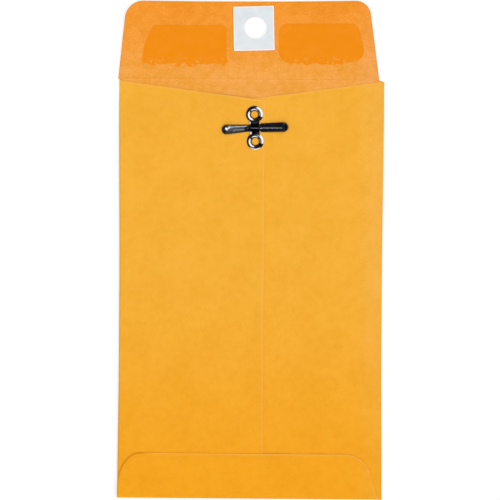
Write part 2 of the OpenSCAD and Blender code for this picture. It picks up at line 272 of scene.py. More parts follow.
SETTINGS = {
    "envelope_paper": EnvelopePaper,
    "envelope_gum": EnvelopeGum,
    "envelope_patch": EnvelopePatch,
    "envelope_clasp": EnvelopeClasp,
    "envelope_stage": EnvelopeStage,
}


# Node trees

class Wire:
    """A socket of a node tree. Arithmetic on it adds Math nodes, and node() adds any other node."""

    def __init__(self, tree, socket=None):
        self.tree = tree
        self.socket = socket

    def node(self, kind, settings=None, values=None, output=0):
        """Adds a node with its settings and with values or links on its sockets, and gives one output."""
        made = self.tree.nodes.new(kind)
        for name, value in (settings or {}).items():
            setattr(made, name, value)
        for name, value in (values or {}).items():
            if isinstance(value, Wire):
                self.tree.links.new(value.socket, made.inputs[name])
            else:
                made.inputs[name].default_value = value
        return Wire(self.tree, made.outputs[output] if made.outputs else None)

    def maths(self, operation, *values):
        return self.node("ShaderNodeMath", {"operation": operation}, dict(enumerate(values)))

    def __add__(self, other):
        return self.maths("ADD", self, other)

    def __mul__(self, other):
        return self.maths("MULTIPLY", self, other)

    def __sub__(self, other):
        return self.maths("SUBTRACT", self, other)

    def __rsub__(self, other):
        return self.maths("SUBTRACT", other, self)

    __radd__ = __add__
    __rmul__ = __mul__

    def largest(self, other):
        return self.maths("MAXIMUM", self, other)

    def size(self):
        """This number without its sign."""
        return self.maths("ABSOLUTE", self)

    def axis(self, index):
        """One coordinate of this place."""
        return self.node("ShaderNodeSeparateXYZ", values={"Vector": self}, output=index)

    def ramp(self, low, high):
        """0 below low and 1 above high, smooth between."""
        return self.node("ShaderNodeMapRange", {"interpolation_type": "SMOOTHSTEP"},
                         {"Value": self, "From Min": low, "From Max": high})

    def tinted(self, colour):
        """This colour multiplied by another."""
        return self.node("ShaderNodeMix", {"data_type": "RGBA", "blend_type": "MULTIPLY"},
                         {0: 1.0, 6: self, 7: (*colour, 1)}, 2)

    def mix(self, first, second):
        """From the first colour at 0 to the second at 1."""
        colours = [c if isinstance(c, Wire) else (*c, 1) for c in (first, second)]
        return self.node("ShaderNodeMix", {"data_type": "RGBA"}, {0: self, 6: colours[0], 7: colours[1]}, 2)

    def mottle(self, scale, detail=3, roughness=0.5):
        """Noise on this place, from 0 to 1."""
        return self.node("ShaderNodeTexNoise", {}, {
            "Vector": self, "Scale": scale, "Detail": detail, "Roughness": roughness})

    def mapped(self, turn=0, scale=(1, 1, 1), shift=(0, 0, 0)):
        """This place, turned, stretched and shifted."""
        return self.node("ShaderNodeMapping", {}, {
            "Vector": self, "Rotation": (0, 0, turn), "Scale": scale, "Location": shift})

    def bump(self, strength, distance):
        """A normal from this height."""
        return self.node("ShaderNodeBump", {}, {"Height": self, "Strength": strength, "Distance": distance})

    def attribute(self, name, output="Fac"):
        return self.node("ShaderNodeAttribute", {"attribute_name": name}, output=output)


def finish(name, constants, recipe):
    """The material of this name. If new, its shader gets fixed values and what the recipe makes."""
    if name in bpy.data.materials:
        return bpy.data.materials[name]
    material = bpy.data.materials.new(name)
    material.use_nodes = True
    shader = material.node_tree.nodes["Principled BSDF"]
    for socket, value in constants.items():
        shader.inputs[socket].default_value = value
    for socket, wire in recipe(Wire(material.node_tree)).items():
        material.node_tree.links.new(wire.socket, shader.inputs[socket])
    return material


# What kraft's colour is multiplied by in dark pulp, for the painted shade along the bottom flap's long left
# corner, and for the painted highlight along the right fold
DARK_PULP = (0.90, 0.83, 0.42)
LEFT_CORNER_SHADE = (0.78, 0.64, 0.28)
FOLD_HIGHLIGHT = (1.0, 1.03, 1.55)
FOLD_HIGHLIGHT_REACH = (3 * MM, 13 * MM)
# Scales of the pulp's mottle, from broad to fine, and the fibres' stretch and turns
DRIFT, CLOUD, PULP = 70, 330, 1500
FIBRE_STRETCH = (700, 4500, 1)
FIBRE_TURNS = (0.35, 1.25, -0.8)


def kraft(name, high, low, span, fibre, rim_colour, grain, shift, marks=None):
    """Kraft paper: drifting, cloudy pulp, a painted highlight along the right fold, with short fibres and any
    marks.
    """

    def recipe(wire):
        flat = wire.attribute("flat", "Vector")
        place = flat.mapped(shift=(shift, 0, 0))
        base = flat.axis(1).ramp(*span).mix(low, high)
        # Painted highlight: paler and yellower within a few millimetres of the right fold
        fold_highlight = 1 - (flat.axis(0) - FOLD_X[1]).size().ramp(*FOLD_HIGHLIGHT_REACH)
        base = fold_highlight.mix(base, base.tinted(FOLD_HIGHLIGHT))
        if marks:
            base = marks(flat, base)
        drift = place.mottle(DRIFT, 2)
        cloud = place.mottle(CLOUD, 3, 0.6)
        pulp = place.mottle(PULP, 3, 0.65)
        fibres = [place.mapped(turn, FIBRE_STRETCH).mottle(1, 2) for turn in FIBRE_TURNS]
        light = fibres[0].largest(fibres[1]).largest(fibres[2])
        dark = 0.3 * drift.ramp(0.35, 0.65) + 0.35 * cloud.ramp(0.35, 0.7) + 0.35 * pulp.ramp(0.35, 0.75)
        shade = (grain * dark).mix(base, base.tinted(DARK_PULP))
        tint = (0.4 * grain * light.ramp(0.62, 0.76)).mix(shade, fibre)
        # Along cut edges: on the outside, paler cut fibres with a painted highlight of the lit edge; on the
        # flap's inside, a painted shade
        rimmed = (0.6 * wire.attribute("rim") * pulp.ramp(0.2, 0.7)).mix(tint, rim_colour)
        return {
            # Painted shade along the bottom flap's long left corner, where its attribute says so
            "Base Color": wire.attribute("corner_shade").mix(rimmed, rimmed.tinted(LEFT_CORNER_SHADE)),
            "Roughness": 0.78 + 0.14 * pulp,
            "Normal": (0.5 * pulp + 0.5 * light).bump(0.22, 0.06 * MM),
        }

    return finish(name, {"Specular IOR Level": 0.06}, recipe)


# Pale and dark line of the score, each with its place past the score line and its reach
SCORE_PALE = (0.93, 0.43, 0.13)
SCORE_PALE_AT, SCORE_PALE_REACH = -0.45 * MM, (0.15 * MM, 0.6 * MM)
SCORE_DARK = (0.93, 0.75, 0.55)
SCORE_DARK_AT, SCORE_DARK_REACH = 0.2 * MM, (0.08 * MM, 0.3 * MM)
SCORE_SHARE = 0.5
# Painted shade round the patch: its tint, its share and its reach past the patch's edge
PATCH_SHADE, PATCH_SHADE_SHARE, PATCH_SHADE_REACH = (0.93, 0.68, 0.3), 0.8, 0.4 * MM
# Heights past the score line between which the inside turns from fresh to aged
FRESH_BELOW, AGED_ABOVE = -12 * MM, -9 * MM
# Heights between which each side of the paper goes from its low colour to its high one
OUTSIDE_SPAN, INSIDE_SPAN = (BOTTOM_Y, 0), (SCORE_Y - 10.4 * MM, FLAP_TOP_Y)


def inside_marks(paper, patch):
    """Marks on the inside: fresh paper in the pocket, the score line, and a painted shade round the patch."""
    turned = Vector((PATCH_PLACE.x, PATCH_PLACE.y - patch.drop, 0))
    turned.rotate(Euler((0, 0, -patch.turn)))

    def marks(flat, base):
        past = flat.axis(1) - SCORE_Y
        aged = past.ramp(FRESH_BELOW, AGED_ABOVE).mix(paper.outside_high, base)
        broken = flat.mottle(420, 3).ramp(0.3, 0.6)
        below = 1 - (past - SCORE_PALE_AT).size().ramp(*SCORE_PALE_REACH)
        above = 1 - (past - SCORE_DARK_AT).size().ramp(*SCORE_DARK_REACH)
        scored = (SCORE_SHARE * broken * below).mix(aged, SCORE_PALE)
        scored = (SCORE_SHARE * broken * above).mix(scored, scored.tinted(SCORE_DARK))
        on_patch = flat.mapped(-patch.turn, shift=-turned)
        gap = (on_patch.axis(0).size() - patch.width / 2).largest(on_patch.axis(1).size() - patch.height / 2)
        # Painted shade, darkest at the patch's edge
        patch_shade = PATCH_SHADE_SHARE - PATCH_SHADE_SHARE * gap.ramp(0, PATCH_SHADE_REACH)
        return patch_shade.mix(scored, scored.tinted(PATCH_SHADE))

    return marks


def paper_finishes(paper):
    """The outside, inside and cut edge of the kraft blank."""
    # The inside's cut edges take a painted shade, the outside's a pale edge with a painted highlight
    cut, flap_shade = paper.cut_edge, paper.flap_edge_shade
    marks = inside_marks(paper, bpy.context.scene.envelope_patch)
    return [
        kraft("kraft_outside", paper.outside_high, paper.outside_low, OUTSIDE_SPAN, cut, cut,
              grain=0.8, shift=0.0),
        kraft("kraft_inside", paper.inside_high, paper.inside_low, INSIDE_SPAN, cut, flap_shade,
              grain=1.5, shift=0.31, marks=marks),
        kraft("kraft_cut_edge", cut, cut, OUTSIDE_SPAN, cut, cut, grain=0.5, shift=0.57),
    ]


# Tint of thick gum, the patch's cut edges (a paler cut core with a painted highlight), and dried glue where
# it is dark and pale
THICK_GUM = (0.97, 0.9, 0.6)
PATCH_EDGE = (0.97, 0.97, 0.97)
GLUE_DARK, GLUE_PALE = (0.80, 0.72, 0.50), (0.90, 0.85, 0.68)
# How bright the patch and the metal are in their duller clouds, and the stretch of the metal's scratches
PATCH_DULL, METAL_DULL = 0.94, 0.86
SCRATCH_STRETCH = (300, 9000, 300)


def gum_finish(gum, paper):
    """Dried gum: clear amber over the paper, darker at its edges, with pale specks where it is ragged."""

    def recipe(wire):
        place = wire.attribute("flat", "Vector")
        cloud = place.mottle(240, 3)
        grain = place.mottle(1300, 3, 0.6)
        speck = place.mottle(750, 2).ramp(0.56, 0.65)
        thick = 0.7 * wire.attribute("rim") * grain.ramp(0.2, 0.6)
        amber = (0.2 * cloud.ramp(0.4, 0.8)).mix(gum.colour, paper.inside_high)
        amber = thick.mix(amber, amber.tinted(THICK_GUM))
        return {
            "Base Color": (0.8 * speck * wire.attribute("ragged")).mix(amber, paper.inside_low),
            "Roughness": 0.42 + 0.3 * grain,
            "Normal": (0.6 * grain + 0.4 * cloud).bump(0.15, 0.05 * MM),
        }

    return finish("gum_amber", {"Specular IOR Level": 0.08}, recipe)


def patch_finish(patch):
    """Coated white paper with a faint tooth and bright cut edges: a paler cut core with a painted highlight.
    """

    def recipe(wire):
        place = wire.attribute("flat", "Vector")
        tooth = place.mottle(1500, 3, 0.6)
        shade = [PATCH_DULL * c for c in patch.colour]
        face = place.mottle(260, 3).ramp(0.3, 0.7).mix(shade, patch.colour)
        return {
            # Bright cut edges: partly the paler core, partly a painted highlight
            "Base Color": (0.95 * wire.attribute("rim").ramp(0.25, 0.6)).mix(face, PATCH_EDGE),
            "Roughness": 0.55 + 0.15 * tooth,
            "Normal": tooth.bump(0.12, 0.04 * MM),
        }

    return finish("patch_white", {"Specular IOR Level": 0.3}, recipe)


def glue_finish():
    """Dried adhesive, milky and uneven."""

    def recipe(wire):
        cloud = wire.attribute("flat", "Vector").mottle(600, 4)
        return {
            "Base Color": cloud.ramp(0.3, 0.7).mix(GLUE_DARK, GLUE_PALE),
            "Roughness": 0.35 + 0.3 * cloud,
            "Normal": cloud.bump(0.3, 0.05 * MM),
        }

    return finish("glue_milk", {}, recipe)


def metal_finish(clasp):
    """Bright plated steel with fine scratches and a few duller clouds, darkened along its rims, on its strap
    and prongs and in its bores: painted dark reflection and shade, with tarnish in the bores.
    """

    def recipe(wire):
        place = wire.node("ShaderNodeTexCoord", output="Object")
        cloud = place.mottle(500, 3)
        fine = place.mapped(CLASP_TURN, SCRATCH_STRETCH).mottle(1, 2).ramp(0.56, 0.7)
        dull = [METAL_DULL * c for c in clasp.colour]
        bright = cloud.ramp(0.35, 0.75).mix(clasp.colour, dull)
        # The rim attribute says where the painted dark reflection and shade go
        dark = wire.attribute("rim").ramp(0.15, 0.6)
        return {
            "Base Color": dark.mix(bright, clasp.tarnish_and_shade),
            "Roughness": 0.08 + 0.06 * cloud + 0.10 * fine + 0.08 * dark,
            "Normal": (0.6 * cloud + 0.4 * fine).bump(0.06, 0.03 * MM),
        }

    return finish("clasp_plate", {"Metallic": 1.0}, recipe)


# Outlines

# How many points are worked on at a time, and the height of an equal triangle with sides of 1
BLOCK = 500
ROW_PITCH = math.sqrt(0.75)
# Share of a step by which a stretch may be too long
STEP_SLACK = 1e-6


def smooth(low, high, value):
    """0 below low and 1 above high, smooth between."""
    share = np.clip((value - low) / (high - low), 0, 1)
    return share * share * (3 - 2 * share)


def onward(loop):
    """For each point of a loop, the next one."""
    return np.roll(loop, -1, axis=0)


def arc(centre, radius, start, end, step):
    """Points on an arc, both ends included. Angles are in radians."""
    count = max(2, math.ceil(abs(end - start) * radius / step))
    angles = np.linspace(start, end, count + 1)
    return np.column_stack((centre[0] + radius * np.cos(angles), centre[1] + radius * np.sin(angles)))


def rounded(corners, radii, step):
    """An anticlockwise outline with a radius at each corner."""
    corners = [np.array(c, float) for c in corners]
    points = []
    for i, (corner, radius) in enumerate(zip(corners, radii)):
        if radius == 0:
            points.append([corner])
            continue
        into = corner - corners[i - 1]
        out = corners[(i + 1) % len(corners)] - corner
        normals = [np.array((-d[1], d[0])) / np.linalg.norm(d) for d in (into, out)]
        centre = corner + radius * (normals[0] + normals[1]) / (1 + normals[0] @ normals[1])
        start, end = (math.atan2(-n[1], -n[0]) for n in normals)
        end += 2 * math.pi if end < start else 0
        points.append(arc(centre, radius, start, end, step))
    return np.vstack(points)


def divided(loop, step):
    """The loop with points added so that no stretch is longer than the step."""
    points = []
    for start, end in zip(loop, onward(loop)):
        count = max(1, math.ceil(np.linalg.norm(end - start) / step - STEP_SLACK))
        points.extend(start + (end - start) * k / count for k in range(count))
    return np.array(points)


def hole_loop(centre, radius, step):
    """A clockwise circle."""
    return arc(centre, radius, 2 * math.pi, 0, step)[:-1]


def inside(points, loops):
    """Whether each point lies within the first loop and outside the others."""
    x, y = points.T
    within = np.zeros(len(points), bool)
    for loop in loops:
        for (ax, ay), (bx, by) in zip(loop, onward(loop)):
            if ay != by:
                within ^= ((ay > y) != (by > y)) & (x < ax + (y - ay) * (bx - ax) / (by - ay))
    return within


def gap_to(points, starts, ends):
    """Distance of each point from the nearest of some stretches, worked out for a block at a time."""
    along = ends - starts
    square = (along * along).sum(1)
    gaps = []
    for block in np.array_split(points, max(1, len(points) // BLOCK)):
        from_start = block[:, None] - starts
        share = np.clip((from_start * along).sum(2) / square, 0, 1)
        gaps.append(np.linalg.norm(from_start - share[..., None] * along, axis=2).min(1))
    return np.concatenate(gaps)


def lattice(loops, spacing, field):
    """Points of equal triangles over the part of the outline where the field, if there is one, says so."""
    low, high = loops[0].min(0), loops[0].max(0)
    rows = np.arange(low[1], high[1], spacing * ROW_PITCH)
    columns = np.arange(low[0], high[0], spacing)
    points = np.array([(x + spacing / 2 * (i % 2), y) for i, y in enumerate(rows) for x in columns])
    points = points[field(points)] if field else points
    return points[inside(points, loops)]


# Sheets

SHARP_ANGLE = math.radians(48)
RIM_FADE = 0.3 * MM
# Least gap from the outline, as a share of an inset and past the last inset as a share of the spacing
RING_ROOM, GRID_ROOM = 0.9, 0.4
# Gap in millimetres below which points are merged
MERGE_GAP = 1e-5


def point_values(mesh, name, field):
    """The values of a point attribute."""
    return np.array([getattr(point, field) for point in mesh.attributes[name].data])


def set_points(mesh, name, values):
    """Sets a point attribute of the mesh, which gets it if it has none of that name."""
    layer = mesh.attributes.get(name) or mesh.attributes.new(name, "FLOAT", "POINT")
    layer.data.foreach_set("value", values)


def set_shading(mesh):
    """Smooth faces with sharp edges between those that meet at an angle."""
    mesh.shade_smooth()
    mesh.set_sharp_from_angle(angle=SHARP_ANGLE)


def sheet_mesh(name, loops, place, spacing, insets, finishes, rows=None, field=None, is_cut=None):
    """A closed sheet. Its outline lies on the flat blank, and place() says where both faces go.

    place(points, rim) gives the outer and inner face's points, for points of the flat outline and their
    distances from the nearest cut edge. rows are further points, field limits the lattice of inner points
    and is_cut tells which stretches of the outline are cut edges."""
    starts = np.vstack(loops)
    ends = np.vstack([onward(loop) for loop in loops])
    middles = (starts + ends) / 2
    cut = is_cut(middles) if is_cut else np.ones(len(middles), bool)

    along = np.vstack([onward(loop) - np.roll(loop, 1, axis=0) for loop in loops])
    inward = np.column_stack((-along[:, 1], along[:, 0])) / np.linalg.norm(along, axis=1)[:, None]
    inner = []
    for inset in insets:
        ring = starts + inset * inward
        inner.append(ring[inside(ring, loops) & (gap_to(ring, starts, ends) > RING_ROOM * inset)])
    grid = lattice(loops, spacing, field)
    inner.append(grid[gap_to(grid, starts, ends) > insets[-1] + GRID_ROOM * spacing])
    if rows is not None:
        inner.append(rows[inside(rows, loops)])

    points = np.vstack([starts, *inner])
    edges, first = [], 0
    for loop in loops:
        edges.extend((first + i, first + (i + 1) % len(loop)) for i in range(len(loop)))
        first += len(loop)
    flat, _, faces, *_ = delaunay_2d_cdt([Vector(p / MM) for p in points], edges, [], 0, MERGE_GAP)
    flat = np.array(flat) * MM
    faces = np.array([f for f in faces if len(f) == 3])
    faces = faces[inside(flat[faces].mean(1), loops)]
    rim = gap_to(flat, starts[cut], ends[cut])
    outer, under = place(flat, rim)

    a, b, c = (outer[faces[:, k]] for k in range(3))
    facing = (np.cross(b - a, c - a) * (outer - under)[faces[:, 0]]).sum()
    if facing < 0:
        faces = faces[:, ::-1]
    count = len(flat)
    pairs = np.vstack((faces[:, [0, 1]], faces[:, [1, 2]], faces[:, [2, 0]]))
    met = {tuple(pair) for pair in pairs}
    open_edges = [(i, j) for i, j in met if (j, i) not in met]
    sides = [(j, i, i + count, j + count) for i, j in sorted(open_edges)]

    mesh = bpy.data.meshes.new(name)
    polygons = [*faces.tolist(), *(faces[:, ::-1] + count).tolist(), *sides]
    mesh.from_pydata(np.vstack((outer, under)).tolist(), [], polygons)
    for material in finishes:
        mesh.materials.append(material)
    slots = [0] * len(faces) + [1] * len(faces) + [2] * len(sides)
    mesh.polygons.foreach_set("material_index", [min(slot, len(finishes) - 1) for slot in slots])
    set_shading(mesh)
    layer = mesh.attributes.new("flat", "FLOAT_VECTOR", "POINT")
    layer.data.foreach_set("vector", np.column_stack((np.tile(flat, (2, 1)), np.zeros(2 * count))).ravel())
    set_points(mesh, "rim", np.tile(np.exp(-rim / RIM_FADE), 2))
    mesh.update()
    return mesh


def show(mesh):
    """A piece with this mesh, at the origin."""
    piece = bpy.data.objects.new(mesh.name, mesh)
    bpy.context.scene.collection.objects.link(piece)
    return piece


# How the paper lies

# Spans as shares of the pocket's height, and the power of the swell across it
TOP_FLARE_SPAN = (0.5, 1)
BOTTOM_FLARE_SPAN = (0, 0.35)
PUFF_GROWS, PUFF_FADES = (0, 0.3), (0.4, 0.78)
PUFF_POWER = 1.5
# Share and wave lengths of the swell's ripple, over 2 pi
RIPPLE, RIPPLE_X, RIPPLE_Y = 0.12, 9 * MM, 17 * MM
# Spans and reaches of the clasp's hold, of the throat's sag and of the front panel's press
HELD_BESIDE_CLASP = (6 * MM, 22 * MM)
FREE_BELOW_CLASP = (10 * MM, 14 * MM)
SAG_BELOW_THROAT, SAG_BELOW_SCORE = 14 * MM, 3 * MM
CLASP_PRESS_SPAN = (2.5 * MM, 9 * MM)
THROAT_PRESS_BELOW, THROAT_PRESS_ABOVE = 6 * MM, 1 * MM
ONE_PANEL_PRESS, ONE_PANEL_REACH = 0.35, 6 * MM
# Shares of a bore's radius between which the paper in it slopes down
EMBOSS_SPAN = (0.8, 0.98)
# Reaches of the flap's spring and flare, the power of its draw, and reaches of an edge's lift and a step
SPRING_REACH = 9 * MM
FLARE_REACH = 0.15 * MM
DRAW_POWER = 6
LIFT_REACH = 1.5 * MM
FLAP_STEP_REACH = 14 * MM


def height_share(y):
    """0 at the bottom fold and 1 at the score line."""
    return (y - BOTTOM_Y) / (SCORE_Y - BOTTOM_Y)


def spread(paper, y):
    """Factor by which the sheet is wider or narrower at a height."""
    v = height_share(y)
    top, bottom = smooth(*TOP_FLARE_SPAN, v), 1 - smooth(*BOTTOM_FLARE_SPAN, v)
    return 1 + paper.top_flare * top + paper.bottom_flare * bottom - paper.waist * (1 - top - bottom)


def beside_clasp(x):
    """0 at the clasp, which holds the paper, and 1 well to either side of it."""
    return smooth(*HELD_BESIDE_CLASP, np.abs(x - CLASP_PLACE.x))


def throat_drop(paper, x, y):
    """Sag of the back's upper edges onto the front panel. Only the clasp holds them up."""
    lowest = SCORE_Y - paper.throat_depth
    free = np.where(x < CLASP_PLACE.x, BACK_Z, UNDER_PANEL_TOP) - 2 * PAPER_T - paper.throat_gap
    along = smooth(lowest - SAG_BELOW_THROAT, SCORE_Y - SAG_BELOW_SCORE, y)
    return free * along * beside_clasp(x)


def pocket_rise(paper, x, y):
    """Rise of the pocket's back: a low swell below the clasp, with a slow ripple, and the throat's sag."""
    v = height_share(y)
    across = np.clip(1 - (x / POCKET_HALF_W) ** 2, 0, 1) ** PUFF_POWER
    along = smooth(*PUFF_GROWS, v) * (1 - smooth(*PUFF_FADES, v))
    ripple = 1 + RIPPLE * np.sin(x / RIPPLE_X) * np.cos(y / RIPPLE_Y)
    return paper.puff * across * along * ripple - throat_drop(paper, x, y)


def bottom_rise(paper, x, y):
    """Rise of the bottom flap, which steps down with the panels at the seam."""
    return pocket_rise(paper, x, y) - SEAM_STEP * smooth(SEAM_X, SEAM_X + FLAP_STEP_REACH, x)


def eyelet_places(clasp):
    """Centres of the two eyelets."""
    across = Vector((-math.sin(CLASP_TURN), math.cos(CLASP_TURN)))
    return [CLASP_PLACE + side * clasp.pitch / 2 * across for side in (-1, 1)]


def clasp_press(paper, clasp, x, y):
    """Rise of the front panel towards the clinched clasp and the throat, and into the eyelets' bores."""
    past_eyelets = np.maximum(np.abs(y - CLASP_PLACE.y) - clasp.pitch / 2, 0)
    gap = np.hypot(x - CLASP_PLACE.x, past_eyelets)
    at_clasp = paper.clasp_press * (1 - smooth(*CLASP_PRESS_SPAN, gap))
    lowest = SCORE_Y - paper.throat_depth
    near_throat = smooth(lowest - THROAT_PRESS_BELOW, lowest, y)
    near_throat = near_throat * (1 - smooth(lowest + THROAT_PRESS_ABOVE, CREASE_LOW_Y, y))
    under_one = 1 + ONE_PANEL_PRESS * (1 - smooth(HIDDEN_EDGE_X - ONE_PANEL_REACH, HIDDEN_EDGE_X, x))
    at_throat = paper.throat_press * under_one * near_throat * (1 - beside_clasp(x))
    from_bore = np.min([np.hypot(x - p.x, y - p.y) for p in eyelet_places(clasp)], axis=0)
    bore = 1 - smooth(*(share * clasp.bore_radius for share in EMBOSS_SPAN), from_bore)
    return np.maximum(at_clasp, at_throat) + paper.eyelet_emboss * bore


def flap_lie(paper, points):
    """Where points of the flat sheet lie on the opened flap, and how far they rise."""
    x, y = points.T
    past = np.maximum(y - SCORE_Y, 0)
    share = np.clip(past / FLAP_H, 0, 1)
    middle = np.clip(1 - (x / FLAP_RIGHT_X) ** 2, 0, 1)
    rise = paper.flap_spring * (1 - np.exp(-past / SPRING_REACH))
    rise = rise + paper.flap_curl * share ** 3 * (1 - middle) ** 2
    drawn = paper.flap_right_draw * (x / FLAP_RIGHT_X) ** DRAW_POWER
    flare = np.where(x < 0, paper.flap_left_flare, -drawn)
    flare = flare * smooth(CREASE_LOW_Y, CREASE_LOW_Y + FLARE_REACH, y)
    moved_y = y - paper.skew * x + share * (paper.flap_skew * x - paper.flap_bow * middle)
    return x * spread(paper, y) * (1 + flare), moved_y, rise


def on_flap(paper, heights):
    """A sheet_mesh place() for the flap. heights(x, y, rim) gives both faces' heights over its lower face."""

    def place(points, rim):
        x, y, rise = flap_lie(paper, points)
        return [np.column_stack((x, y, rise + height)) for height in heights(x, y, rim)]

    return place


def on_pocket(paper, x, y):
    """Where a point of the square pocket goes on the flared and skewed one."""
    return x * spread(paper, y), y - paper.skew * x


def folded(paper, run, radius, lie):
    """Both faces of a sheet that turns over at a fold, for runs along the sheet from where the fold starts.

    lie(reach) gives x, y and the rise past the fold, for reaches beyond the fold's start."""
    turn = np.clip(run / radius, 0, math.pi)
    past = np.maximum(run - math.pi * radius, 0)
    faces = []
    for face_r in (radius, radius - PAPER_T):
        x, y, rise = lie(face_r * np.sin(turn) - past)
        height = radius - face_r * np.cos(turn) + (1 - np.cos(turn)) / 2 * rise
        faces.append(np.column_stack((*on_pocket(paper, x, y), height)))
    return faces


# Kraft sheets

PAPER_STEP = 1.2 * MM
PAPER_GRID = 2.4 * MM
PAPER_INSETS = (0.08 * MM, 0.25 * MM, 0.6 * MM, 1.2 * MM)
CORNER_STEP = 0.35 * MM
FOLD_ROWS = 12
FLAT_RUNS = [run * MM for run in (0.25, 0.7, 1.4)]
FLAT_MARGIN = 0.8 * MM
CREASE_ROWS = 14
CREASE_MARGIN = 0.25 * MM
EMBOSS_RINGS = [r * MM for r in (0.4, 0.8, 1.05, 1.3, 1.55, 1.8, 2.2, 3.0)]
EMBOSS_STEP = 0.4 * MM
# How far from a fold an edge has to be to count as cut
HAIR = 0.001 * MM
# Share of a side fold's turn over which its upper end is nearly level, and its drop over that share
LEVEL_TURN, LEVEL_DROP = 0.6, 0.04 * MM
# Where the painted shade at the left ends, how near the rim it is, and the step along the long corner's unit
# arc
LEFT_SHADE_SPAN, LEFT_SHADE_RIM = (8 * MM, 14 * MM), (0.15, 0.55)
LONG_CORNER_STEP = 0.03
# Room between the crease's rows and the flap's ends, and between them and the lattice
CREASE_LEFT_ROOM, CREASE_RIGHT_ROOM, CREASE_ROOM = 1 * MM, 0.5 * MM, 0.5 * MM


def front_sheet(paper, clasp):
    """The front panel, the crease and the seal flap, as the one sheet that they are."""
    crease = np.linspace(CREASE_LOW_Y, CREASE_HIGH_Y + CREASE_MARGIN, CREASE_ROWS + 1)
    flap = rounded(
        [(FLAP_LEFT_X, CREASE_LOW_Y), (FLAP_RIGHT_X, CREASE_LOW_Y),
         (FLAP_RIGHT_X - paper.flap_right_lean, FLAP_TOP_Y),
         (FLAP_LEFT_X + paper.flap_left_lean, FLAP_TOP_Y)],
        [0, 0, paper.flap_right_radius, paper.flap_left_radius], CORNER_STEP)
    outline = np.vstack((
        [(FOLD_X[-1], BOTTOM_FOLD_Y), (BOTTOM_FLAP_END_X, BOTTOM_FOLD_Y), (BOTTOM_FLAP_END_X, BOTTOM_Y),
         (FOLD_X[1], BOTTOM_Y), (FOLD_X[1], CREASE_LOW_Y)],
        [(FLAP_RIGHT_X, y) for y in crease if y > CREASE_LOW_Y + paper.shoulder_rise],
        flap[2:],
        [(FLAP_LEFT_X, y) for y in crease[::-1]],
        [(FOLD_X[-1], CREASE_LOW_Y)]))
    loops = [divided(outline, PAPER_STEP), hole_loop(HOLE_PLACE, HOLE_R, CORNER_STEP)]
    across = np.arange(FLAP_LEFT_X + CREASE_LEFT_ROOM, FLAP_RIGHT_X - CREASE_RIGHT_ROOM, PAPER_GRID)
    rows = [(x, y) for y in crease - CREASE_MARGIN / 2 for x in across]
    rings = [arc(p, r, 0, 2 * math.pi, EMBOSS_STEP)[:-1] for p in eyelet_places(clasp) for r in EMBOSS_RINGS]

    def heights(x, y, rim):
        press = clasp_press(paper, clasp, x, y)
        return press, press + PAPER_T

    def off_crease(points):
        return np.abs(points[:, 1] - SCORE_Y) > CREASE_HIGH_Y - SCORE_Y + CREASE_MARGIN + CREASE_ROOM

    def is_cut(middles):
        return middles[:, 1] > CREASE_LOW_Y - HAIR

    return sheet_mesh("front_sheet", loops, on_flap(paper, heights), PAPER_GRID, PAPER_INSETS,
                      paper_finishes(paper), np.vstack((rows, *rings)), off_crease, is_cut)


def fold_rows(start, end, radius):
    """Points over a fold and the first of the flat sheet past it: each is a run and a place along it."""
    turn = math.pi * radius
    runs = [*np.linspace(0, turn, FOLD_ROWS + 1), *(turn + run for run in FLAT_RUNS)]
    places = np.arange(start + PAPER_STEP / 2, end, PAPER_STEP)
    return np.array([(run, place) for run in runs for place in places])


def back_wall(paper, clasp, side):
    """A side fold with the back panel that it carries: the left one lies over the right one."""
    fold_x, radius, shoulder = FOLD_X[side], FOLD_R[side], SHOULDER_Y[side]
    free_x = SEAM_X if side < 0 else HIDDEN_EDGE_X
    round_run = math.pi * radius

    def on_blank(x):
        return fold_x + side * (round_run + np.abs(x - fold_x))

    def throat_y(x):
        """Height of the upper edge, straight from the fold to the throat's lowest point and on."""
        share = (x - fold_x) / (paper.throat_x - fold_x)
        return shoulder + share * (SCORE_Y - paper.throat_depth - shoulder)

    throat = [(on_blank(x), throat_y(x)) for x in (free_x, fold_x)]
    top = [(fold_x + side * LEVEL_TURN * round_run, CREASE_LOW_Y - LEVEL_DROP), (fold_x, CREASE_LOW_Y)]
    if side < 0:
        foot = [(on_blank(free_x), BOTTOM_FOLD_Y), (fold_x, BOTTOM_FOLD_Y)]
        outline = np.vstack((foot, top[::-1], throat[::-1]))
    else:
        tab = on_blank(BOTTOM_FLAP_END_X)
        foot = [(fold_x, BOTTOM_Y), (tab, BOTTOM_Y), (tab, BOTTOM_FOLD_Y), (on_blank(free_x), BOTTOM_FOLD_Y)]
        outline = np.vstack((foot, throat, top))
    holes = [hole_loop((on_blank(p.x), p.y), clasp.paper_hole, CORNER_STEP) for p in eyelet_places(clasp)]
    rows = (fold_x, 0) + fold_rows(BOTTOM_Y, CREASE_LOW_Y, radius) * (side, 1)

    def place(points, rim):
        y = points[:, 1]
        free = smooth(*FREE_BELOW_CLASP, CLASP_PLACE.y - y)
        lift = paper.edge_lift * np.exp(-rim / LIFT_REACH) * free

        def lie(reach):
            x = fold_x + side * reach
            return x, y, pocket_rise(paper, x, y) + lift

        return folded(paper, side * (points[:, 0] - fold_x), radius, lie)

    def off_fold(points):
        return side * (points[:, 0] - fold_x) > round_run + FLAT_RUNS[-1] + FLAT_MARGIN

    def is_cut(middles):
        return side * (middles[:, 0] - fold_x) > HAIR

    return sheet_mesh(WORDS[side] + "_wall", [divided(outline, PAPER_STEP), *holes], place, PAPER_GRID,
                      PAPER_INSETS, paper_finishes(paper), rows, off_fold, is_cut)


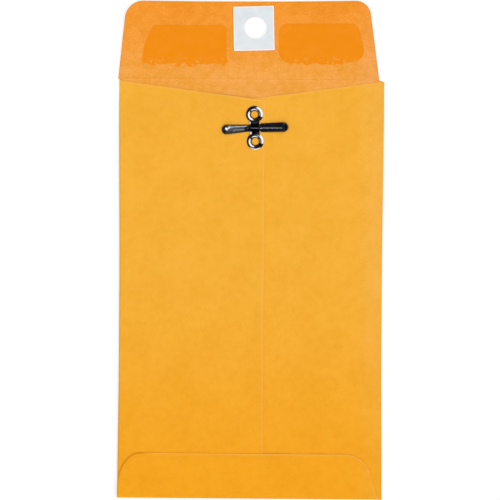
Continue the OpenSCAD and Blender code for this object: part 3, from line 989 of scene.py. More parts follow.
def bottom_wall(paper):
    """The bottom fold with the bottom flap, with a painted shade along its long left corner."""
    fold_end = BOTTOM_FOLD_Y - math.pi * BOTTOM_FOLD_R
    free_y = fold_end - (BOTTOM_FLAP_TOP_Y - BOTTOM_FOLD_Y)
    corners = rounded(
        [(LEFT_X, BOTTOM_FOLD_Y), (LEFT_X, free_y), (BOTTOM_FLAP_END_X - paper.bottom_right_lean, free_y),
         (BOTTOM_FLAP_END_X, fold_end), (BOTTOM_FLAP_END_X, BOTTOM_FOLD_Y)],
        [0, 0, paper.bottom_right_radius, 0, 0], CORNER_STEP)
    long_corner = 1 + arc((0, 0), 1, math.pi, 1.5 * math.pi, LONG_CORNER_STEP)
    long_corner = (LEFT_X, free_y) + long_corner * (paper.bottom_left_width, paper.bottom_left_height)
    outline = np.vstack((corners[:1], long_corner, corners[2:]))
    rows = (0, BOTTOM_FOLD_Y) + fold_rows(LEFT_X, BOTTOM_FLAP_END_X, BOTTOM_FOLD_R)[:, ::-1] * (1, -1)

    def place(points, rim):
        x = points[:, 0]
        lift = paper.edge_lift * np.exp(-rim / LIFT_REACH)

        def lie(reach):
            y = BOTTOM_FOLD_Y - reach
            return x, y, bottom_rise(paper, x, y) + lift

        return folded(paper, BOTTOM_FOLD_Y - points[:, 1], BOTTOM_FOLD_R, lie)

    def off_fold(points):
        return points[:, 1] < fold_end - FLAT_RUNS[-1] - FLAT_MARGIN

    def is_cut(middles):
        return middles[:, 1] < BOTTOM_FOLD_Y - HAIR

    mesh = sheet_mesh("bottom_wall", [divided(outline, PAPER_STEP)], place, PAPER_GRID, PAPER_INSETS,
                      paper_finishes(paper), rows, off_fold, is_cut)
    rim = point_values(mesh, "rim", "value")
    x = point_values(mesh, "flat", "vector")[:, 0]
    # Painted shade along the long left corner's cut edge, in place of the pale cut edge there
    at_left = 1 - smooth(*(LEFT_X + past for past in LEFT_SHADE_SPAN), x)
    set_points(mesh, "corner_shade", at_left * smooth(*LEFT_SHADE_RIM, rim))
    set_points(mesh, "rim", (1 - at_left) * rim)
    return mesh


# Films and patch

# Sizes of a wandering edge's small and large waves, their shares, how much of them goes sideways and up,
# and the layer of the noise that the large ones take
SMALL_WAVE, LARGE_WAVE = 1.1 * MM, 4 * MM
SMALL_SHARE, LARGE_SHARE = 0.7, 0.8
SIDEWAYS = (0.6, 1)
LARGE_LAYER = 9
GUM_FOOT, GUM_BELOW = 4 * MM, 0.5 * MM
GUM_STEP, GUM_GRID, GUM_INSETS = 0.3 * MM, 0.9 * MM, (0.12 * MM, 0.4 * MM)
GUM_EDGE_SHARE, GUM_EDGE_REACH = 0.25, 0.8 * MM
PATCH_CORNER, PATCH_CORNER_STEP, HOLE_ROOM = 0.25 * MM, 0.1 * MM, 0.1 * MM
PATCH_STEP, PATCH_GRID, PATCH_INSETS = 0.6 * MM, 1.2 * MM, (0.06 * MM, 0.2 * MM, 0.5 * MM)
GLUE_CORNER, GLUE_WANDER, GLUE_SEED = 1 * MM, 0.2 * MM, 3
GLUE_STEP, GLUE_GRID, GLUE_INSETS = 0.8 * MM, 2 * MM, (0.2 * MM, 0.6 * MM)
GLUE_SLOPE = 0.3 * MM


def wandering(loop, amount, seed):
    """The loop with each point moved by a smooth noise, less sideways so that it doesn't cross itself."""
    noise.seed_set(seed)
    small = [noise.noise_vector((*(p / SMALL_WAVE), 0)) for p in loop]
    large = [noise.noise_vector((*(p / LARGE_WAVE), LARGE_LAYER)) for p in loop]
    shift = np.array([SMALL_SHARE * s.xy + LARGE_SHARE * w.xy for s, w in zip(small, large)])
    return loop + amount[:, None] * shift * SIDEWAYS


def gum_film(paper, gum, side):
    """One film of gum, ragged where the roller left the paper."""
    name = WORDS[side] + "_gum"
    left, bottom, right, top = (*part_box(name)[LOW].xy, *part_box(name)[HIGH].xy)
    if side < 0:
        seed = gum.left_seed
        bulge = (left + gum.lean / 4, (bottom + top) / 2)
        corners = [(left, bottom), (right, bottom), (right, top), (left + gum.lean, top), bulge]
        radii = [gum.sharp_corner, gum.corner, gum.corner, gum.corner, gum.bulge_radius]
    else:
        seed = gum.right_seed
        corners = [(left, bottom), (right, bottom), (right - gum.lean, top), (left, top)]
        radii = [gum.low_corner, gum.low_corner, gum.round_corner, gum.round_corner]
    loop = divided(rounded(corners, radii, CORNER_STEP), GUM_STEP)
    foot = 1 - smooth(bottom, bottom + GUM_FOOT, loop[:, 1])
    loop = wandering(loop, gum.wander + (gum.ragged - gum.wander) * foot, seed)

    def heights(x, y, rim):
        film = GUM_EDGE_SHARE + (1 - GUM_EDGE_SHARE) * smooth(0, GUM_EDGE_REACH, rim)
        return PAPER_T + GUM_T * film, PAPER_T

    mesh = sheet_mesh(name + "_film", [loop], on_flap(paper, heights), GUM_GRID, GUM_INSETS,
                      [gum_finish(gum, paper)])
    height = point_values(mesh, "flat", "vector")[:, 1]
    set_points(mesh, "ragged", 1 - smooth(bottom - GUM_BELOW, bottom + GUM_FOOT, height))
    return mesh


def patch_sheet(paper, patch, name, base, thickness, look):
    """A sheet of the turned patch's outline with its hole, lying on the flap."""
    cos, sin = math.cos(patch.turn), math.sin(patch.turn)
    middle_y = PATCH_PLACE.y - patch.drop
    corners = []
    for right, up in ((-1, -1), (1, -1), (1, 1), (-1, 1)):
        x, y = right * patch.width / 2, up * patch.height / 2
        corners.append((PATCH_PLACE.x + cos * x - sin * y, middle_y + sin * x + cos * y))
    outline = divided(rounded(corners, [PATCH_CORNER] * 4, PATCH_CORNER_STEP), PATCH_STEP)
    loops = [outline, hole_loop(HOLE_PLACE, HOLE_R, CORNER_STEP)]

    def heights(x, y, rim):
        return base + thickness, base

    def off_hole(middles):
        return np.hypot(*(middles - HOLE_PLACE).T) > HOLE_R + HOLE_ROOM

    return sheet_mesh(name, loops, on_flap(paper, heights), PATCH_GRID, PATCH_INSETS, [look], is_cut=off_hole)


def glue_mesh(paper, name, box, low_of, high_of):
    """A glue line under the back, between two heights that follow the paper."""
    low, high = box
    corners = [(low.x, low.y), (high.x, low.y), (high.x, high.y), (low.x, high.y)]
    loop = divided(rounded(corners, [GLUE_CORNER] * 4, CORNER_STEP), GLUE_STEP)
    loop = wandering(loop, np.full(len(loop), GLUE_WANDER), GLUE_SEED)

    def place(points, rim):
        x, y = points.T
        lie = on_pocket(paper, x, y)
        return np.column_stack((*lie, high_of(x, y))), np.column_stack((*lie, low_of(x, y)))

    return sheet_mesh(name, [loop], place, GLUE_GRID, GLUE_INSETS, [glue_finish()])


# Clasp

METAL_GRID = 0.08 * MM
METAL_INSETS = (0.03 * MM, 0.08 * MM, 0.15 * MM)
# A prong's bead: the share of the gap under the prong that it fills, and its least half height in radii
BEAD_FILL, BEAD_LEAST = 0.8, 0.1
# Spans along a prong over which its shoulder and its arch grow, and over which an edge sets in
SHOULDER_SPAN, ARCH_SPAN = (0.3 * MM, 0.75 * MM), (0.1 * MM, 1.5 * MM)
EDGE_SPAN = (0, 0.3 * MM)
# Least height of the arch, in roundings of its edge, and least metal under its top, as a share
LEAST_ARCH, LEAST_METAL = 1.4, 0.25
EDGE_POINTS, TIP_STEP, PRONG_STEP = 48, 0.12 * MM, 0.16 * MM
# Walls of a prong's pressed lines, where the lines set in, and where their walls slope about their ends
LINE_WALL, LINE_START = 0.14 * MM, 0.2 * MM
LINE_SLOPE_SHARE, LINE_END = 0.2, (-1.2 * MM, 0.2 * MM)
FINE_LINE = 0.1 * MM
# Painted dark reflection along a prong and on the left one's shoulder, and the power that widens it at the
# rim
PRONG_SHADE, SHOULDER_SHADE, RIM_POWER = 0.38, 0.25, 0.6
# Spans over which it clears before the left prong's lines end, clears along that prong's shoulder and sets
# in across it, and the length over which it grows to the full at the right prong's tip
LINE_CLEARS, SHOULDER_ALONG = (-1.5 * MM, -0.4 * MM), (1.4 * MM, 3 * MM)
SHOULDER_ACROSS, TIP_DARKENS = (0, 0.2 * MM), 1.2 * MM
# The strap: how far it goes under a rim, how far it flares there, and the length of its flare
STRAP_BURIED, STRAP_FLARE, FLARE_LENGTH = 0.7 * MM, 0.25 * MM, 0.9 * MM
BITE_STEP, STRAP_STEP, NOTCH_ROOM = 0.15 * MM, 0.2 * MM, 0.01 * MM
# How far below a rim's height the strap's sweep ends, and its span from the rim
SWEEP_BELOW, SWEEP_SPAN = 0.2 * MM, (-0.7 * MM, 0.5 * MM)
# How bright the burrs and the pressed line stay in the strap's painted dark reflection
BURR_SHINE, LINE_SHINE = 1.5, 0.85
# Line pressed from prong to prong across the strap: its reach, depth, place and slope
STRAP_LINE_REACH, STRAP_LINE_DEPTH = 0.22 * MM, 0.1 * MM
STRAP_LINE_Y, STRAP_LINE_SLOPE = -0.15 * MM, 0.05
# Place and reach of the bright burrs that curl up at the strap's left edge, and of the ears that carry them
BURRS = ((-1.7 * MM, 1.95 * MM, 0.5 * MM), (-1.45 * MM, -2.0 * MM, 0.6 * MM))
EAR_Y, EAR_REACH, EAR_LEFT_OF = 2.1 * MM, 0.45 * MM, -1 * MM
# Directions in which a rim's crest leans inwards, its outer edge gets a painted dark reflection, and it gets
# a painted dark wedge
RIM_LIGHT, RIM_DARK, RIM_WEDGE = (math.radians(degrees) for degrees in (30, 145, -33))
RIM_TURNS = 96
# Cosines from those directions between which the painted dark edge and the painted dark wedge set in
RIM_DARK_SPAN, RIM_WEDGE_SPAN = (0.1, 0.5), (0.965, 0.995)
# Span of the tarnish and painted shade past a bore, and span of the painted dark reflection within an
# eyelet's outer edge
BORE_TARNISH_AND_SHADE, OUTER_EDGE_DARK = (0.02 * MM, 0.28 * MM), (-0.7 * MM, -0.4 * MM)
# Steps along the unit arcs of a rim's outside and inside, and along the clinched end
RIM_STEP, HOLLOW_STEP, CLINCH_STEP = 0.1, 0.2, 0.09 * MM


def clasp_to_world(points, turn=0.0):
    """Points of the clasp's own frame, on the paper's back."""
    cos, sin = math.cos(CLASP_TURN + turn), math.sin(CLASP_TURN + turn)
    x, y, z = points.T
    return np.column_stack((CLASP_PLACE.x + cos * x - sin * y, CLASP_PLACE.y + sin * x + cos * y, BACK_Z + z))


def rounding(radius, rim):
    """Drop of a rounded edge at a distance from it."""
    return radius * (1 - np.sqrt(1 - np.clip(1 - rim / radius, 0, 1) ** 2))


def pressed_lines(clasp, side, arch_l):
    """Where the lines pressed into a prong begin and end, and the middle, slope, half width, end and slope of
    the end's walls of each: a broad and a fine one on the left prong, and a fine one on the right one."""
    if side < 0:
        begin, end = 2.4 * MM, arch_l - 0.35 * MM
        broad = (-0.38 * MM, 0, clasp.groove_width / 2, end, 0.4 * MM)
        fine = (0.62 * MM, 0, FINE_LINE, end - 2.5 * MM, 0)
        return begin, end, (broad, fine)
    begin, end = 0.9 * MM, arch_l - 0.7 * MM
    return begin, end, ((-0.25 * MM, -0.035, FINE_LINE, end, 0),)


def prong_mesh(clasp, side):
    """A prong: a flat tongue with a bead along its bend, which swells into a grooved, round-tipped arch."""
    half_tip, half_tongue = clasp.prong_width / 2, clasp.tongue_width / 2
    half_shoulder = half_tongue if side < 0 else clasp.right_shoulder / 2
    arch_l = clasp.prong_length - half_tip
    bead_r = clasp.metal / 2 + BEAD_FILL * PRONG_CLEAR
    lean = math.tan(clasp.left_lean) if side < 0 else 0
    turn = math.pi if side < 0 else 0
    line_begin, line_end, lines = pressed_lines(clasp, side, arch_l)

    def half_width(x):
        """The tongue's at the bend, then a straight taper from the shoulder to the tip."""
        taper = half_shoulder + (half_tip - half_shoulder) * np.clip(x / arch_l, 0, 1)
        return half_tongue + (taper - half_tongue) * smooth(*SHOULDER_SPAN, x)

    def arch(x, y):
        """Height of the arch, which is flat on top and steep at its edges."""
        crown = clasp.root_height + (clasp.tip_height - clasp.root_height) * np.clip(x / arch_l, 0, 1)
        across = np.hypot(y, np.maximum(x - arch_l, 0)) / half_width(x)
        return crown * np.sqrt(np.maximum(1 - across ** clasp.arch_power, 0))

    def groove(x, y):
        """Depth of the pressed lines, whose ends are round."""
        depth = np.zeros(len(x))
        for middle, slope, half, end, sloping in lines:
            near_end = smooth(*(end + past for past in LINE_END), x)
            wall = LINE_WALL + sloping * (LINE_SLOPE_SHARE + near_end)
            off = np.hypot(y - middle - slope * x, np.maximum(x - end, 0)) - half
            depth = np.maximum(depth, 1 - smooth(-wall, wall, off))
        return clasp.groove_depth * depth * smooth(LINE_START, line_begin, x)

    def place(points, rim):
        x, y = points.T
        grown = smooth(*ARCH_SPAN, x)
        arched = np.maximum(arch(x, y), LEAST_ARCH * clasp.edge_round)
        edge_drop = rounding(clasp.edge_round, rim) * smooth(*EDGE_SPAN, x)
        top = (1 - grown) * clasp.metal + grown * arched - groove(x, y) - edge_drop
        under = grown * np.maximum(arched - clasp.metal, 0)
        least = LEAST_METAL * clasp.metal * smooth(*EDGE_SPAN, rim)
        under = np.maximum(np.minimum(under, top - least), 0)
        bead = np.sqrt(np.maximum(bead_r ** 2 - x ** 2, (BEAD_LEAST * bead_r) ** 2))
        bead_top = np.where(x < bead_r, clasp.metal / 2 + bead, 0)
        top = np.where(x < 0, bead_top, np.maximum(top, bead_top))
        under = np.where(x < 0, clasp.metal / 2 - bead, under)
        faces = [np.column_stack((x + BEND_X, y + lean * x, PRONG_CLEAR + z)) for z in (top, under)]
        return [clasp_to_world(face, turn) for face in faces]

    side_x = np.linspace(-bead_r, arch_l, EDGE_POINTS)
    edge = np.column_stack((side_x, -half_width(side_x)))
    tip = arc((arch_l, 0), half_tip, -math.pi / 2, math.pi / 2, TIP_STEP)
    outline = divided(np.vstack((edge[:-1], tip, (edge * (1, -1))[::-1][1:])), PRONG_STEP)
    mesh = sheet_mesh(WORDS[side] + "_prong_blade", [outline], place, METAL_GRID, METAL_INSETS,
                      [metal_finish(clasp)])
    x, y = point_values(mesh, "flat", "vector")[:, :2].T
    # Painted dark reflection over the prongs, which hides their highlights: before the left prong's lines
    # end, on its shoulder, and over the right prong and its tip
    if side < 0:
        painted_dark = PRONG_SHADE * (1 - smooth(*(line_end + past for past in LINE_CLEARS), x))
        on_shoulder = (1 - smooth(*SHOULDER_ALONG, x)) * smooth(*SHOULDER_ACROSS, y)
        painted_dark = painted_dark + SHOULDER_SHADE * on_shoulder
    else:
        painted_dark = np.maximum(PRONG_SHADE, smooth(arch_l, arch_l + TIP_DARKENS, x))
    set_points(mesh, "rim", np.maximum(point_values(mesh, "rim", "value") ** RIM_POWER, painted_dark))
    return mesh


def burrs(x, y):
    """From 0 to 1, how far each point of the strap has curled up towards a burr's edge."""
    curls = []
    for burr_x, burr_y, reach in BURRS:
        near = np.exp(-((y - burr_y) / reach) ** 4)
        curls.append((1 - smooth(burr_x - reach, burr_x + reach, x)) * near)
    return np.max(curls, axis=0)


def strap_line(x, y):
    """From 0 to 1, how deep in the line pressed across the strap each point is."""
    return 1 - smooth(0, STRAP_LINE_REACH, np.abs(y - STRAP_LINE_Y + STRAP_LINE_SLOPE * x))


def strap_mesh(clasp):
    """The strap between the eyelets, painted dark as a dark reflection, notched at the prongs' bends and
    swept up into the rims.
    """
    half = BEND_X
    notch_x = half - clasp.metal / 2 - PRONG_CLEAR
    notch_y = clasp.tongue_width / 2 + PRONG_CLEAR
    buried = clasp.eyelet_radius - STRAP_BURIED
    flare = half + STRAP_FLARE
    foot_y = clasp.pitch / 2 - math.sqrt(buried ** 2 - flare ** 2)
    straight_y = foot_y - FLARE_LENGTH
    bite_angle = math.atan2(flare, clasp.pitch / 2 - foot_y)
    bite = arc((0, clasp.pitch / 2), buried, -math.pi / 2 + bite_angle, -math.pi / 2 - bite_angle, BITE_STEP)
    right = [(notch_x, -notch_y), (notch_x, notch_y), (half, notch_y), (half, straight_y)]
    upper = np.vstack((right, bite, [(-half, straight_y), (-half, notch_y)]))
    outline = divided(np.vstack((upper, -upper)), STRAP_STEP)
    ears = np.exp(-((np.abs(outline[:, 1]) - EAR_Y) / EAR_REACH) ** 2) * (outline[:, 0] < EAR_LEFT_OF)
    outline[:, 0] -= EAR_REACH * ears

    def place(points, rim):
        x, y = points.T
        from_ring = np.hypot(x, np.abs(y) - clasp.pitch / 2) - clasp.eyelet_radius
        sweep = (clasp.rim_height - SWEEP_BELOW) * (1 - smooth(*SWEEP_SPAN, from_ring))
        top = clasp.metal + sweep + clasp.burr_height * burrs(x, y) - rounding(clasp.edge_round, rim)
        top = top - STRAP_LINE_DEPTH * strap_line(x, y)
        return [clasp_to_world(np.column_stack((x, y, z))) for z in (top, np.zeros(len(x)))]

    def off_notch(middles):
        x, y = np.abs(middles).T
        return (x < notch_x - NOTCH_ROOM) | (y > notch_y + NOTCH_ROOM)

    mesh = sheet_mesh("strap", [outline], place, METAL_GRID, METAL_INSETS[:2], [metal_finish(clasp)],
                      is_cut=off_notch)
    x, y = point_values(mesh, "flat", "vector")[:, :2].T
    # Painted dark reflection over the whole strap, lifted at the burrs and the pressed line
    unshaded = np.maximum(np.clip(BURR_SHINE * burrs(x, y), 0, 1), LINE_SHINE * strap_line(x, y))
    set_points(mesh, "rim", 1 - unshaded)
    return mesh


def eyelet_mesh(clasp):
    """One eyelet about the origin: a rolled rim that runs down into a barrel with a clinched end."""
    half = (clasp.eyelet_radius - clasp.bore_radius) / 2
    rim_x = clasp.bore_radius + half
    barrel_x = clasp.bore_radius + clasp.metal
    clinch_x = clasp.bore_radius + clasp.clinch
    outer = (rim_x, 0) + arc((0, 0), 1, 0, math.pi, RIM_STEP) * (half, clasp.rim_height)
    hollow = (half - clasp.metal, clasp.rim_height - clasp.metal)
    inner = (rim_x, 0) + arc((0, 0), 1, math.pi, 0, HOLLOW_STEP) * hollow
    clinch = arc((clinch_x, -BARREL_DEPTH), clasp.clinch, math.pi, 2 * math.pi, CLINCH_STEP)
    profile = np.vstack((outer, clinch, [(barrel_x, -BARREL_DEPTH)], inner))
    angles = np.linspace(0, 2 * math.pi, RIM_TURNS, endpoint=False)
    x, z = profile.T
    crest = np.clip(1 - ((x - rim_x) / half) ** 2, 0, 1) * (z > 0)
    rings = []
    for a in angles:
        reach = x - clasp.rim_shift * crest * math.cos(a - RIM_LIGHT)
        rings.append(np.column_stack((reach * math.cos(a), reach * math.sin(a), z)))
    count = len(profile)
    quads = []
    steps = [(k, (k + 1) % count) for k in range(count)]
    for i in range(RIM_TURNS):
        here, there = i * count, (i + 1) % RIM_TURNS * count
        quads.extend((here + k, here + n, there + n, there + k) for k, n in steps)
    mesh = bpy.data.meshes.new("eyelet")
    mesh.from_pydata(np.vstack(rings).tolist(), [], quads)
    shape = bmesh.new()
    shape.from_mesh(mesh)
    bmesh.ops.recalc_face_normals(shape, faces=shape.faces)
    shape.to_mesh(mesh)
    shape.free()
    set_shading(mesh)
    # Tarnish and painted shade in the bore, a painted dark reflection on the outer edge towards the upper
    # left, and a painted dark wedge at the lower right
    in_bore = 1 - smooth(*(clasp.bore_radius + past for past in BORE_TARNISH_AND_SHADE), x)
    outmost = smooth(*(clasp.eyelet_radius + past for past in OUTER_EDGE_DARK), x)
    dark = smooth(*RIM_DARK_SPAN, np.cos(angles - RIM_DARK))
    split = smooth(*RIM_WEDGE_SPAN, np.cos(angles - RIM_WEDGE))
    tarnish_and_shade = np.maximum(np.maximum(in_bore, np.outer(dark, outmost)), split[:, None])
    set_points(mesh, "rim", tarnish_and_shade.ravel())
    return mesh


# Geometry node trees

def node_tree(name, inputs):
    """An empty geometry tree with named inputs. Gives the tree and a wire for each input."""
    tree = bpy.data.node_groups.new(name, "GeometryNodeTree")
    tree.interface.new_socket("Geometry", in_out="INPUT", socket_type="NodeSocketGeometry")
    for label, kind in inputs.items():
        tree.interface.new_socket(label, in_out="INPUT", socket_type="NodeSocket" + kind)
    tree.interface.new_socket("Geometry", in_out="OUTPUT", socket_type="NodeSocketGeometry")
    start = tree.nodes.new("NodeGroupInput")
    return tree, {socket.name: Wire(tree, socket) for socket in start.outputs if socket.name}


def close_tree(wires, geometry):
    """Realizes the geometry, gives it the Material input and sends it to the tree's output."""
    solid = geometry.node("GeometryNodeRealizeInstances", values={"Geometry": geometry})
    dressed = solid.node("GeometryNodeSetMaterial", values={"Geometry": solid, "Material": wires["Material"]})
    dressed.node("NodeGroupOutput", values={"Geometry": dressed})


def run_tree(mesh, tree, values):
    """The mesh that a tree makes of a mesh, with values for its named inputs."""
    name = mesh.name
    carrier = bpy.data.objects.new(name, mesh)
    bpy.context.scene.collection.objects.link(carrier)
    modifier = carrier.modifiers.new(tree.name, "NODES")
    modifier.node_group = tree
    sockets = {s.name: s.identifier for s in tree.interface.items_tree if s.in_out == "INPUT"}
    for label, value in values.items():
        modifier[sockets[label]] = value
    bpy.context.view_layer.update()
    evaluated = carrier.evaluated_get(bpy.context.evaluated_depsgraph_get())
    made = bpy.data.meshes.new_from_object(evaluated)
    bpy.data.objects.remove(carrier)
    bpy.data.meshes.remove(mesh)
    made.name = name
    return made


def eyelet_tree():
    """Sets one eyelet at each end of the clasp."""
    tree, wires = node_tree("eyelet_pair", {
        "Count": "Int", "Pitch": "Float", "Turn": "Float", "Place": "Vector", "Material": "Material"})
    start = wires["Geometry"]
    line = start.node("GeometryNodeMeshLine", values={
        "Count": wires["Count"],
        "Start Location": start.node("ShaderNodeCombineXYZ", values={"Y": wires["Pitch"] * -0.5}),
        "Offset": start.node("ShaderNodeCombineXYZ", values={"Y": wires["Pitch"]})})
    pair = start.node("GeometryNodeInstanceOnPoints", values={"Points": line, "Instance": start})
    spin = start.node("ShaderNodeCombineXYZ", values={"Z": wires["Turn"]})
    close_tree(wires, start.node("GeometryNodeTransform", values={
        "Geometry": pair, "Rotation": spin, "Translation": wires["Place"]}))
    return tree


SMALLEST_SPECK, SPECK_FLATNESS = 0.25, 0.16


def speck_tree():
    """Strews dried droplets over the upper face of a film, where its ragged attribute says so."""
    tree, wires = node_tree("gum_specks", {
        "Density": "Float", "Largest": "Float", "Seed": "Int", "Material": "Material"})
    start = wires["Geometry"]
    ragged = start.node("GeometryNodeInputNamedAttribute", {"data_type": "FLOAT"}, {"Name": "ragged"})
    upward = start.maths("GREATER_THAN", start.node("GeometryNodeInputNormal").axis(2), 0.5)
    points = start.node("GeometryNodeDistributePointsOnFaces", values={
        "Mesh": start, "Density": ragged * upward * wires["Density"], "Seed": wires["Seed"]})
    ball = start.node("GeometryNodeMeshIcoSphere", values={"Radius": 1.0, "Subdivisions": 2})
    size = start.node("FunctionNodeRandomValue", {"data_type": "FLOAT"}, {
        2: SMALLEST_SPECK, 3: 1.0, "Seed": wires["Seed"]}, 1) * wires["Largest"]
    scale = start.node("ShaderNodeCombineXYZ", values={"X": size, "Y": size, "Z": size * SPECK_FLATNESS})
    drops = start.node("GeometryNodeInstanceOnPoints", values={
        "Points": points, "Instance": ball, "Scale": scale})
    both = start.node("GeometryNodeJoinGeometry", values={"Geometry": start})
    both.tree.links.new(drops.socket, both.socket.node.inputs["Geometry"])
    close_tree(wires, both)
    return tree


# Operators

class ENVELOPE_OT_front_sheet(bpy.types.Operator):
    """Lay the front panel and the opened seal flap as one kraft sheet"""

    bl_idname = "envelope.front_sheet"
    bl_label = "Front Sheet"

    def execute(self, context):
        piece = show(front_sheet(context.scene.envelope_paper, context.scene.envelope_clasp))
        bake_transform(piece)
        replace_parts(piece, "front_panel", "flap_crease", "seal_flap")
        return {"FINISHED"}


class ENVELOPE_OT_back_walls(bpy.types.Operator):
    """Fold the two back panels over from the sides"""

    bl_idname = "envelope.back_walls"
    bl_label = "Back Walls"

    def execute(self, context):
        for side, word in WORDS.items():
            wall = back_wall(context.scene.envelope_paper, context.scene.envelope_clasp, side)
            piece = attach(show(wall), "pocket")
            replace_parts(piece, word + "_side_fold", word + "_back_panel")
        return {"FINISHED"}


class ENVELOPE_OT_bottom_wall(bpy.types.Operator):
    """Fold the bottom flap up over the back panels"""

    bl_idname = "envelope.bottom_wall"
    bl_label = "Bottom Wall"

    def execute(self, context):
        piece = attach(show(bottom_wall(context.scene.envelope_paper)), "pocket")
        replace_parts(piece, "bottom_fold", "bottom_flap")
        return {"FINISHED"}


class ENVELOPE_OT_glue_lines(bpy.types.Operator):
    """Lay the glue under the seam, under the bottom flap and under the patch"""

    bl_idname = "envelope.glue_lines"
    bl_label = "Glue Lines"

    def execute(self, context):
        paper, patch = context.scene.envelope_paper, context.scene.envelope_patch

        def under(x, y):
            return UNDER_PANEL_TOP + pocket_rise(paper, x, y)

        def over_seam(x, y):
            return under(x, y) + SEAM_STEP - PAPER_T

        def over_panels(x, y):
            return under(x, y) + SEAM_STEP * (1 - smooth(SEAM_X, SEAM_X + GLUE_SLOPE, x))

        def under_flap(x, y):
            return BOTTOM_FLAP_Z + bottom_rise(paper, x, y)

        seam = glue_mesh(paper, "seam_glue_line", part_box("seam_glue"), under, over_seam)
        band = glue_mesh(paper, "bottom_glue_band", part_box("bottom_glue"), over_panels, under_flap)
        film = patch_sheet(paper, patch, "patch_glue_film", PAPER_T, PATCH_GLUE_T, glue_finish())
        for mesh, node, body in ((seam, "seam_glue", "pocket"), (band, "bottom_glue", "pocket"),
                                 (film, "patch_glue", "flap")):
            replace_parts(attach(show(mesh), body), node)
        return {"FINISHED"}


class ENVELOPE_OT_gum_films(bpy.types.Operator):
    """Spread the two films of gum on the flap, with dried droplets along their lower edges"""

    bl_idname = "envelope.gum_films"
    bl_label = "Gum Films"

    def execute(self, context):
        gum = context.scene.envelope_gum
        tree = speck_tree()
        for side, word in WORDS.items():
            film = gum_film(context.scene.envelope_paper, gum, side)
            film = run_tree(film, tree, {
                "Density": gum.specks, "Largest": gum.speck_size, "Seed": gum.seed + side,
                "Material": film.materials[0]})
            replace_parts(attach(show(film), "flap"), word + "_gum")
        return {"FINISHED"}


class ENVELOPE_OT_hole_patch(bpy.types.Operator):
    """Stick the white patch round the flap's hole"""

    bl_idname = "envelope.hole_patch"
    bl_label = "Hole Patch"

    def execute(self, context):
        patch = context.scene.envelope_patch
        sheet = patch_sheet(context.scene.envelope_paper, patch, "hole_patch_sheet",
                            PAPER_T + PATCH_GLUE_T, PATCH_T, patch_finish(patch))
        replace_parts(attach(show(sheet), "flap"), "hole_patch")
        return {"FINISHED"}


class ENVELOPE_OT_clasp_base(bpy.types.Operator):
    """Clinch the clasp's eyelets and strap through the back panels"""

    bl_idname = "envelope.clasp_base"
    bl_label = "Clasp Base"

    def execute(self, context):
        clasp = context.scene.envelope_clasp
        eyelets = run_tree(eyelet_mesh(clasp), eyelet_tree(), {
            "Count": 2, "Pitch": clasp.pitch, "Turn": CLASP_TURN,
            "Place": (CLASP_PLACE.x, CLASP_PLACE.y, BACK_Z), "Material": metal_finish(clasp)})
        strap = strap_mesh(clasp)
        shape = bmesh.new()
        for mesh in (strap, eyelets):
            shape.from_mesh(mesh)
        shape.to_mesh(strap)
        shape.free()
        bpy.data.meshes.remove(eyelets)
        strap.name = "clasp_stamping"
        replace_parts(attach(show(strap), "pocket"), "clasp_base")
        return {"FINISHED"}


class ENVELOPE_OT_prongs(bpy.types.Operator):
    """Set the clasp's two prongs at their bends"""

    bl_idname = "envelope.prongs"
    bl_label = "Prongs"

    def execute(self, context):
        for side, word in WORDS.items():
            piece = show(prong_mesh(context.scene.envelope_clasp, side))
            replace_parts(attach(piece, word + "_prong_blade"), word + "_prong")
        return {"FINISHED"}


# Stage

# Azimuth, elevation and width of each lamp, in degrees. Azimuth runs from +X to +Y.
KEY_LAMP = (-50, 42, 25)
SOFT_LAMPS = {"upper_soft_lamp": (145, 58, 80), "lower_soft_lamp": (205, 58, 80)}
# Azimuth, elevation and reach of each round softbox, in degrees, and its share of the brightness
SOFTBOXES = ((28, 40, 38, 1.0), (-90, 27, 36, 1.0), (180, 38, 24, 0.35))
# How far to both sides of its reach a softbox fades, in degrees
SOFTBOX_EDGE = 5
# Half the floor's side and its height, the sensor's width in millimetres, and the camera's place
FLOOR_HALF, FLOOR_Z = 30.0, -0.02 * MM
SENSOR = 36
CENTRE_X, CENTRE_Y = -0.31 * MM, -0.21 * MM


def towards(azimuth, elevation):
    """The turn that points +Z in a direction given in degrees."""
    return Euler((0, math.radians(90 - elevation), math.radians(azimuth)))


def sun(name, strength, azimuth, elevation, width):
    """A soft distant lamp that no metal mirrors."""
    lamp = bpy.data.lights.new(name, "SUN")
    lamp.energy = strength
    lamp.angle = math.radians(width)
    holder = bpy.data.objects.new(name, lamp)
    holder.rotation_euler = towards(azimuth, elevation)
    holder.visible_glossy = False
    bpy.context.scene.collection.objects.link(holder)


def room(stage):
    """A dark room with softboxes at the upper right, the bottom and the left, which the metal mirrors."""
    world = bpy.data.worlds.new("room")
    world.use_nodes = True
    wire = Wire(world.node_tree)
    direction = wire.node("ShaderNodeTexCoord", output="Generated")
    strength = stage.room
    for azimuth, elevation, reach, share in SOFTBOXES:
        middle = towards(azimuth, elevation).to_matrix().col[2]
        nearness = wire.node("ShaderNodeVectorMath", {"operation": "DOT_PRODUCT"},
                             {0: direction, 1: middle}, "Value")
        rim = [math.cos(math.radians(reach + edge)) for edge in (SOFTBOX_EDGE, -SOFTBOX_EDGE)]
        strength = strength + stage.softbox * share * nearness.ramp(*rim)
    background = world.node_tree.nodes["Background"]
    world.node_tree.links.new(strength.socket, background.inputs["Strength"])
    background.inputs["Color"].default_value = (1, 1, 1, 1)
    return world


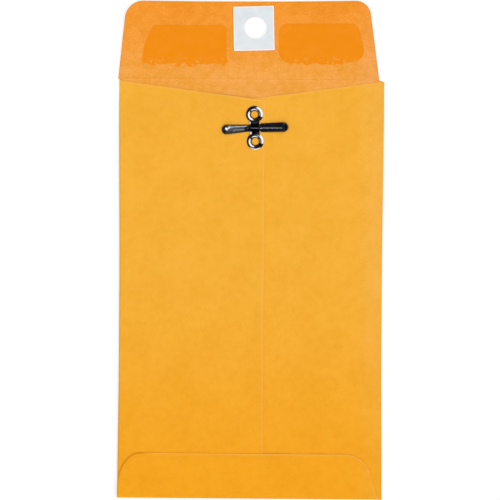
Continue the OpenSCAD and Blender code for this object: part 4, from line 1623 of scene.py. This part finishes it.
def floor_finish(stage):
    """A white floor that keeps its shadows and looks white to the camera and in reflections."""

    def recipe(wire):
        outputs = wire.node("ShaderNodeLightPath").socket.node.outputs
        rays = [Wire(wire.tree, outputs[f"Is {kind} Ray"]) for kind in ("Camera", "Glossy", "Transmission")]
        return {"Emission Color": rays[0] + rays[1] + rays[2]}

    return finish("floor_white", {
        "Base Color": (*stage.floor, 1), "Roughness": 0.9, "Specular IOR Level": 0,
        "Emission Strength": stage.floor_glow}, recipe)


class ENVELOPE_OT_stage(bpy.types.Operator):
    """Set the floor, the lamps, the room and the camera straight above the envelope"""

    bl_idname = "envelope.stage"
    bl_label = "Stage"

    def execute(self, context):
        stage = context.scene.envelope_stage
        mesh = bpy.data.meshes.new("floor")
        corners = ((-1, -1), (1, -1), (1, 1), (-1, 1))
        mesh.from_pydata([(x * FLOOR_HALF, y * FLOOR_HALF, FLOOR_Z) for x, y in corners], [], [(0, 1, 2, 3)])
        mesh.materials.append(floor_finish(stage))
        floor = bpy.data.objects.new("floor", mesh)
        context.scene.collection.objects.link(floor)

        sun("key_lamp", stage.key, *KEY_LAMP)
        for name, place in SOFT_LAMPS.items():
            sun(name, stage.soft, *place)
        context.scene.world = room(stage)
        context.scene.view_settings.view_transform = "Standard"

        camera = bpy.data.objects.new("camera", bpy.data.cameras.new("camera"))
        camera.data.lens = stage.lens
        camera.data.sensor_width = SENSOR
        camera.location = (CENTRE_X, CENTRE_Y, BACK_Z + stage.across * stage.lens / SENSOR)
        camera.rotation_euler = (0, 0, stage.roll)
        context.scene.collection.objects.link(camera)
        context.scene.camera = camera
        return {"FINISHED"}


# Panel and registration

class ENVELOPE_PT_panel(bpy.types.Panel):
    """The envelope's steps and settings"""

    bl_idname = "ENVELOPE_PT_panel"
    bl_label = "Clasp Envelope"
    bl_space_type = "VIEW_3D"
    bl_region_type = "UI"
    bl_category = "Envelope"

    def draw(self, context):
        for step in STEPS:
            self.layout.operator(step.bl_idname)
        for name, group in SETTINGS.items():
            box = self.layout.box()
            for field in group.__annotations__:
                box.prop(getattr(context.scene, name), field)


STEPS = (
    ENVELOPE_OT_front_sheet, ENVELOPE_OT_back_walls, ENVELOPE_OT_bottom_wall, ENVELOPE_OT_glue_lines,
    ENVELOPE_OT_gum_films, ENVELOPE_OT_hole_patch, ENVELOPE_OT_clasp_base, ENVELOPE_OT_prongs,
    ENVELOPE_OT_stage,
)
CLASSES = (*SETTINGS.values(), *STEPS, ENVELOPE_PT_panel)


def register():
    for item in CLASSES:
        bpy.utils.register_class(item)
    for name, group in SETTINGS.items():
        setattr(bpy.types.Scene, name, PointerProperty(type=group))


def unregister():
    for name in SETTINGS:
        delattr(bpy.types.Scene, name)
    for item in reversed(CLASSES):
        bpy.utils.unregister_class(item)


def main():
    register()
    for step in STEPS:
        group, name = step.bl_idname.split(".")
        getattr(getattr(bpy.ops, group), name)()


if __name__ == "__main__":
    main()
